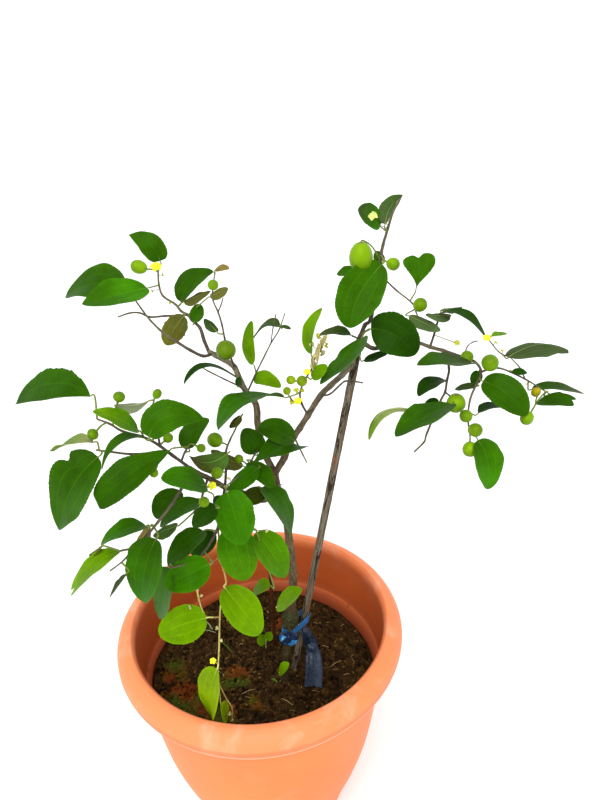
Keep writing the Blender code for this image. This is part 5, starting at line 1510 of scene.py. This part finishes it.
spray = Spray("spray_left_back")
spray.twig(((247, 393, -20), (252, 382, -8), (256, 373, -2), (264, 357, 4), (271, 343, 10), (279, 330, 16),
    (285, 313, 22)), 1.0, 0.6, stub=9)
spray.twig(((271, 343, 10), (273, 328, 7), (276, 314, 5)), 0.6, 0.6)
spray.leaf((253, 364), (252, 321), 12, 10, -4, (247, 343), toward="right", share=0.4,
    look=("young", "light"))
spray.leaf((280, 327), (254, 338), 6, 12, 4, (267, 325), look="grey")
spray.leaf((281, 326), (291, 329), 4, -4, -2, look="grey")
spray.leaf((254, 380), (281, 387), 15, -2, 2, (266, 379), look=("light", "young"))
spray.finish()

spray = Spray("spray_left_down")
spray.twig(((251, 397, -21), (240, 387, -36), (224, 379, -44), (208, 371, -50), (203, 368, -52)), 0.9, 0.6,
    stub=8)
spray.leaf((236, 377), (184, 384), 5, -30, 8, (205, 366), toward="left", share=0.2, look="dark")
spray.leaf((238, 386), (240, 377), 7, -4, -4, look="dark")
spray.finish()

# Leaves about the fork of the trunk
spray = Spray("spray_trunk_fork")
spray.twig(((294, 436, -22), (297, 443, -34), (303, 455, -44), (307, 463, -48)), 1.1, 0.6, stub=6)
spray.leaf((294, 440), (258, 428), 25, -10, -14, (277, 431))
spray.leaf((299, 446), (253, 463), 22, -32, -10, (280, 448), widest=0.38, ends=(0.45, 0.9))
spray.finish()

spray = Spray("spray_trunk_left")
spray.twig(((262, 446, -26), (256, 452, -44), (250, 463, -56), (243, 470, -62), (235, 477, -68)), 1.1, 0.7,
    stub=8)
spray.twig(((250, 463, -56), (243, 472, -80), (234, 480, -98), (226, 486, -107)), 0.8, 0.7)
spray.leaf((257, 453), (243, 429), 25, 6, 6, (252, 442))
spray.leaf((249, 462), (274, 487), 18, -16, -10)
spray.leaf((258, 468), (229, 491), 18, -28, -18, share=0.36, look="green")
spray.leaf((243, 466), (211, 452), 14, -8, -2, under=True, look="olive")
spray.leaf((227, 492), (242, 545), 40, -12, -10, (235, 516), look="green")
spray.fruit((239, 459), 9, 10, shift=-6)
spray.flower((212, 486), 10, shift=-4)
spray.buds(((229, 478), (226, 486), (247, 468)), 3.4)
spray.finish()

# The front limb's sprays, which crowd together over the pot's left half
spray = Spray("spray_canopy_rise")
spray.twig(((225, 487, -92), (226, 470, -84), (226, 452, -78), (230, 440, -72), (235, 430, -68),
    (241, 417, -66)), 1.3, 0.7, stub=8)
spray.leaf((227, 454), (190, 457), 20, -22, -6, (208, 463), under=True, look=("green", "olive"))
spray.leaf((241, 416), (230, 428), 8, -8, -4, under=True, look="olive")
spray.fruit((217, 473), 12, shift=-18)
spray.fruit((215, 440), 15, shift=-2, green=FRUIT_LEAFY)
spray.finish()

spray = Spray("spray_canopy_top")
spray.twig(((190, 468, -120), (172, 455, -127), (160, 446, -131), (150, 440, -134), (140, 436, -136),
    (122, 431, -139), (110, 424, -141), (97, 419, -142)), 1.4, 0.8, stub=8)
spray.twig(((160, 446, -131), (157, 430, -122), (152, 412, -114), (154, 400, -110)), 1.0, 0.8)
spray.twig(((181, 462, -124), (185, 452, -118), (190, 444, -114)), 1.0, 0.8)
spray.leaf((90, 396), (16, 404), 34, 24, 0, (52, 397), fold=18, share=0.44, widest=0.56, ends=(0.6, 0.45),
    sides=(0.35, 1.5), ragged=0.06)
spray.leaf((138, 430), (93, 411), 17, -6, -8, (117, 419), look=("bright", "young"))
spray.leaf((149, 401), (114, 405), 10, 6, 0, (133, 406), under=True, look="silver")
spray.leaf((149, 437), (204, 419), 33, 10, -16, (167, 417), ends=(0.45, 0.8))
spray.leaf((189, 449), (209, 419), 20, 16, 4, (192, 433))
spray.leaf((149, 439), (102, 470), 9, -20, -14, (119, 441), share=0.34)
spray.leaf((170, 450), (97, 503), 33, -24, -32, (131, 474), share=0.44, widest=0.58, ends=(0.7, 0.3))
spray.fruit((119, 397), 12, 11, hang=(112, 425), green=FRUIT_LEAFY)
spray.fruit((157, 394), 9, 11, green=FRUIT_LEAFY)
spray.fruit((93, 434), 12, 10, hang=(107, 424), green=FRUIT_LEAFY)
spray.fruit((168, 438), 10, shift=8, hang=(160, 446), green=FRUIT_LEAFY)
spray.fruit((201, 448), 9, shift=-6, green=FRUIT_LEAFY)
spray.fruit((154, 473), 9, shift=-32, hang=(168, 452))
spray.finish()

spray = Spray("spray_canopy_left")
spray.twig(((166, 451, -129), (150, 453, -134), (130, 454, -138), (112, 452, -141), (96, 450, -144)), 1.1,
    0.8, stub=8)
spray.leaf((93, 442), (54, 451), 7, 10, 0, (71, 443), look=("pale", "light"))
spray.leaf((98, 457), (59, 530), 45, -6, -6, (71, 489), notch=(0.26, 0.34, 1), ends=(0.5, 0.85))
spray.finish()

spray = Spray("spray_canopy_inner")
spray.twig(((208, 478, -109), (204, 490, -124), (200, 502, -132), (194, 512, -140)), 1.2, 0.8, stub=8)
spray.leaf((206, 486), (161, 478), 24, -16, -26, (184, 480), look=("deep", "green"))
spray.leaf((183, 498), (157, 519), 22, -6, 8, (165, 501))
spray.leaf((202, 501), (160, 526), 17, -10, -8, (181, 510))
spray.leaf((216, 508), (193, 527), 20, -12, -14, (205, 515), look="dark")
spray.leaf((177, 526), (153, 536), 12, 2, 8, under=True)
spray.leaf((214, 497), (224, 517), 14, 6, 4, look="dark")
spray.fruit((204, 502), 11, shift=-16)
spray.finish()

spray = Spray("spray_low_left")
spray.twig(((190, 468, -120), (184, 484, -140), (172, 504, -152), (158, 522, -160), (148, 534, -166),
    (134, 547, -172), (120, 551, -176)), 1.5, 0.8, stub=8)
spray.twig(((134, 547, -172), (124, 560, -178), (110, 571, -182)), 0.8, 0.6)
spray.leaf((156, 539), (142, 601), 37, -6, -14, (145, 569), look=("deep", "green"))
spray.leaf((146, 526), (101, 544), 17, -8, -16, (123, 530), look=("deep", "green"))
spray.leaf((150, 527), (135, 549), 12, -2, 8, under=True, look="dry")
spray.leaf((120, 551), (70, 595), 16, -6, 0, (93, 567), toward="left", share=0.36, look=("light", "young"),
    ends=(0.6, 0.3), cleft=0.1)
spray.leaf((126, 574), (110, 597), 4, -6, -3, toward="left", look="grey")
spray.leaf((102, 547), (89, 555), 5, 4, 2, under=True, look="olive")
spray.finish()

spray = Spray("spray_low_middle")
spray.twig(((225, 487, -92), (222, 505, -98), (218, 527, -106), (212, 540, -118), (204, 552, -132),
    (196, 559, -142), (182, 565, -150), (170, 568, -154)), 1.4, 0.8, stub=8)
spray.leaf((204, 531), (168, 566), 23, -16, -18, (185, 545))
spray.leaf((214, 532), (192, 555), 22, -4, 12, look="dark")
spray.leaf((209, 564), (165, 586), 34, -12, -12, look="green")
spray.leaf((170, 568), (158, 616), 23, 8, 6, (165, 591), share=0.5, look="deep")
spray.finish()

spray = Spray("spray_low_front")
spray.twig(((240, 492, -75), (236, 502, -92), (234, 514, -104), (236, 522, -110), (244, 528, -112),
    (256, 530, -110)), 1.3, 0.8, stub=8)
spray.leaf((231, 526), (246, 580), 40, -8, 2, (238, 553), look=("green", "bright"))
spray.leaf((257, 532), (287, 575), 31, -6, 8, look="bright")
spray.buds(((266, 531), (250, 528)), 4.2, BUD_CREAM)
spray.leaf((270, 585), (253, 594), 12, 6, 12, (261, 587), look="light")
spray.finish()

spray = Spray("spray_trunk_front")
spray.twig(((270, 498, -40), (268, 493, -56), (266, 490, -66)), 1.1, 0.8, stub=10)
spray.leaf((261, 488), (290, 538), 20, -6, -4, (282, 509), toward="right")
spray.leaf((265, 492), (240, 501), 18, -10, -12, look="olive")
spray.finish()

spray = Spray("spray_hanging", look="young", twig="cream", young=True)
spray.twig(((218, 527, -106), (219, 543, -102), (219, 558, -104), (223, 568, -107), (226, 580, -111),
    (225, 590, -115), (222, 600, -118), (220, 612, -119), (219, 650, -116), (218, 672, -114),
    (219, 690, -112), (221, 704, -110)), 1.0, 0.7, stub=8)
spray.twig(((219, 557, -104), (212, 563, -108), (207, 569, -110)), 0.7, 0.6)
spray.twig(((220, 617, -119), (207, 617, -123), (203, 612, -125), (199, 600, -128), (197, 590, -131)), 0.8,
    0.7)
spray.twig(((207, 617, -123), (193, 611, -127), (190, 607, -128)), 0.7, 0.6)
spray.twig(((219, 684, -113), (226, 698, -110), (232, 708, -108), (232, 720, -106)), 0.7, 0.6)
spray.leaf((206, 618), (159, 634), 37, -12, -6, (182, 625))
spray.leaf((225, 588), (261, 633), 36, -12, -4, (243, 611))
spray.leaf((217, 669), (211, 716), 22, 4, -2, (210, 694), toward="left", share=0.5, look="lime")
spray.leaf((221, 704), (227, 721), 10, 5, toward="right", look="lime")
spray.flower((206, 570), 9, shift=0)
spray.flower((213, 661), 7, shift=0)
spray.buds(((197, 590), (190, 607), (201, 596), (232, 720), (229, 714), (221, 640), (217, 628)), 3.2,
    BUD_CREAM)
spray.finish()

# Small shoots at the foot of the trunk
spray = Spray("shoot_graft", look="young", twig="cream", young=True)
spray.twig(((291, 604, -21), (284, 606, -36), (279, 607, -42)), 1.0, 0.8, stub=7)
spray.leaf((277, 607), (302, 589), 16, -4, -2)
spray.finish()

spray = Spray("shoot_foot", look="young", twig="cream", young=True)
spray.twig(((286, 661, -20), (281, 668, -33), (279, 673, -38)), 1.0, 0.8, stub=7)
spray.leaf((279, 673), (289, 663), 9, -2)
spray.finish()

# A seedling of its own, four centimetres behind the trunk: two rounded leaves on a pale stem, rooted in the
# potting soil.

SEEDLING_RADIUS = 0.8 * MM
SEEDLING_ROOT = 12 * MM
SEEDLING_FOOT = (266, 652)
SEEDLING_TOP = (266, 639)

spray = Spray("seedling", look="light", twig="green", young=True)
entry = sight_on_soil(*SEEDLING_FOOT)
depth = entry.y / MM
top = sight(*SEEDLING_TOP, depth)
stem = curved([entry + (entry - top).normalized() * SEEDLING_ROOT, entry, top], 6)
add_bar(spray.twigs, stem, [SEEDLING_RADIUS] * len(stem), 8, spray.stalk_tint)
spray.wood.append((SEEDLING_TOP[0], SEEDLING_TOP[1] + 3, depth, top))
spray.leaf((265, 641), (257, 639), 11, -2)
spray.leaf((267, 640), (271, 632), 9, 2)
spray.finish()


# The camera stands where the photograph was taken, half a metre in front of the pot's axis and as far above
# its rim. It looks down and leans a little to one side.

PHOTO_HEIGHT = 800
SENSOR_HEIGHT = 36              # millimetres

lens = bpy.data.cameras.new("camera")
lens.sensor_fit = "VERTICAL"
lens.sensor_height = SENSOR_HEIGHT
lens.sensor_width = SENSOR_HEIGHT
lens.lens = PHOTO_FOCAL / PHOTO_HEIGHT * SENSOR_HEIGHT
lens.clip_start = 0.02
camera = add_object("camera", lens)
stand = Matrix((SIGHT_RIGHT, SIGHT_UP, -SIGHT_AHEAD)).transposed().to_4x4()
camera.matrix_world = Matrix.Translation(EYE) @ stand
bpy.context.scene.camera = camera


# The room is a white floor that runs out of sight, under an even white sky, with one broad soft lamp in
# front and above.

FLOOR_SIDE = 60
FLOOR_WHITE = (0.88, 0.88, 0.88)
SKY_WHITE = (1, 1, 1, 1)
SKY_STRENGTH = 1.05
LAMP_STRENGTH = 2.6
LAMP_FROM = Vector((-0.25, -1.15, 1.0))
LAMP_SPREAD = math.radians(55)

half = FLOOR_SIDE / 2
corners = [(-half, -half, 0), (half, -half, 0), (half, half, 0), (-half, half, 0)]
floor = add_object("floor", new_mesh("floor", corners, [(0, 1, 2, 3)]))
floor.location.z = cad_box[0].z
floor.data.materials.append(Skin("floor").worn(FLOOR_WHITE, 0.9))

sky = bpy.data.worlds.new("sky")
sky.use_nodes = True
sky.node_tree.nodes["Background"].inputs["Color"].default_value = SKY_WHITE
sky.node_tree.nodes["Background"].inputs["Strength"].default_value = SKY_STRENGTH
bpy.context.scene.world = sky

light = bpy.data.lights.new("lamp", "SUN")
light.energy = LAMP_STRENGTH
light.angle = LAMP_SPREAD
lamp = add_object("lamp", light)
lamp.rotation_mode = "QUATERNION"
lamp.rotation_quaternion = LAMP_FROM.to_track_quat("Z", "Y")
bpy.context.scene.view_settings.view_transform = "Standard"
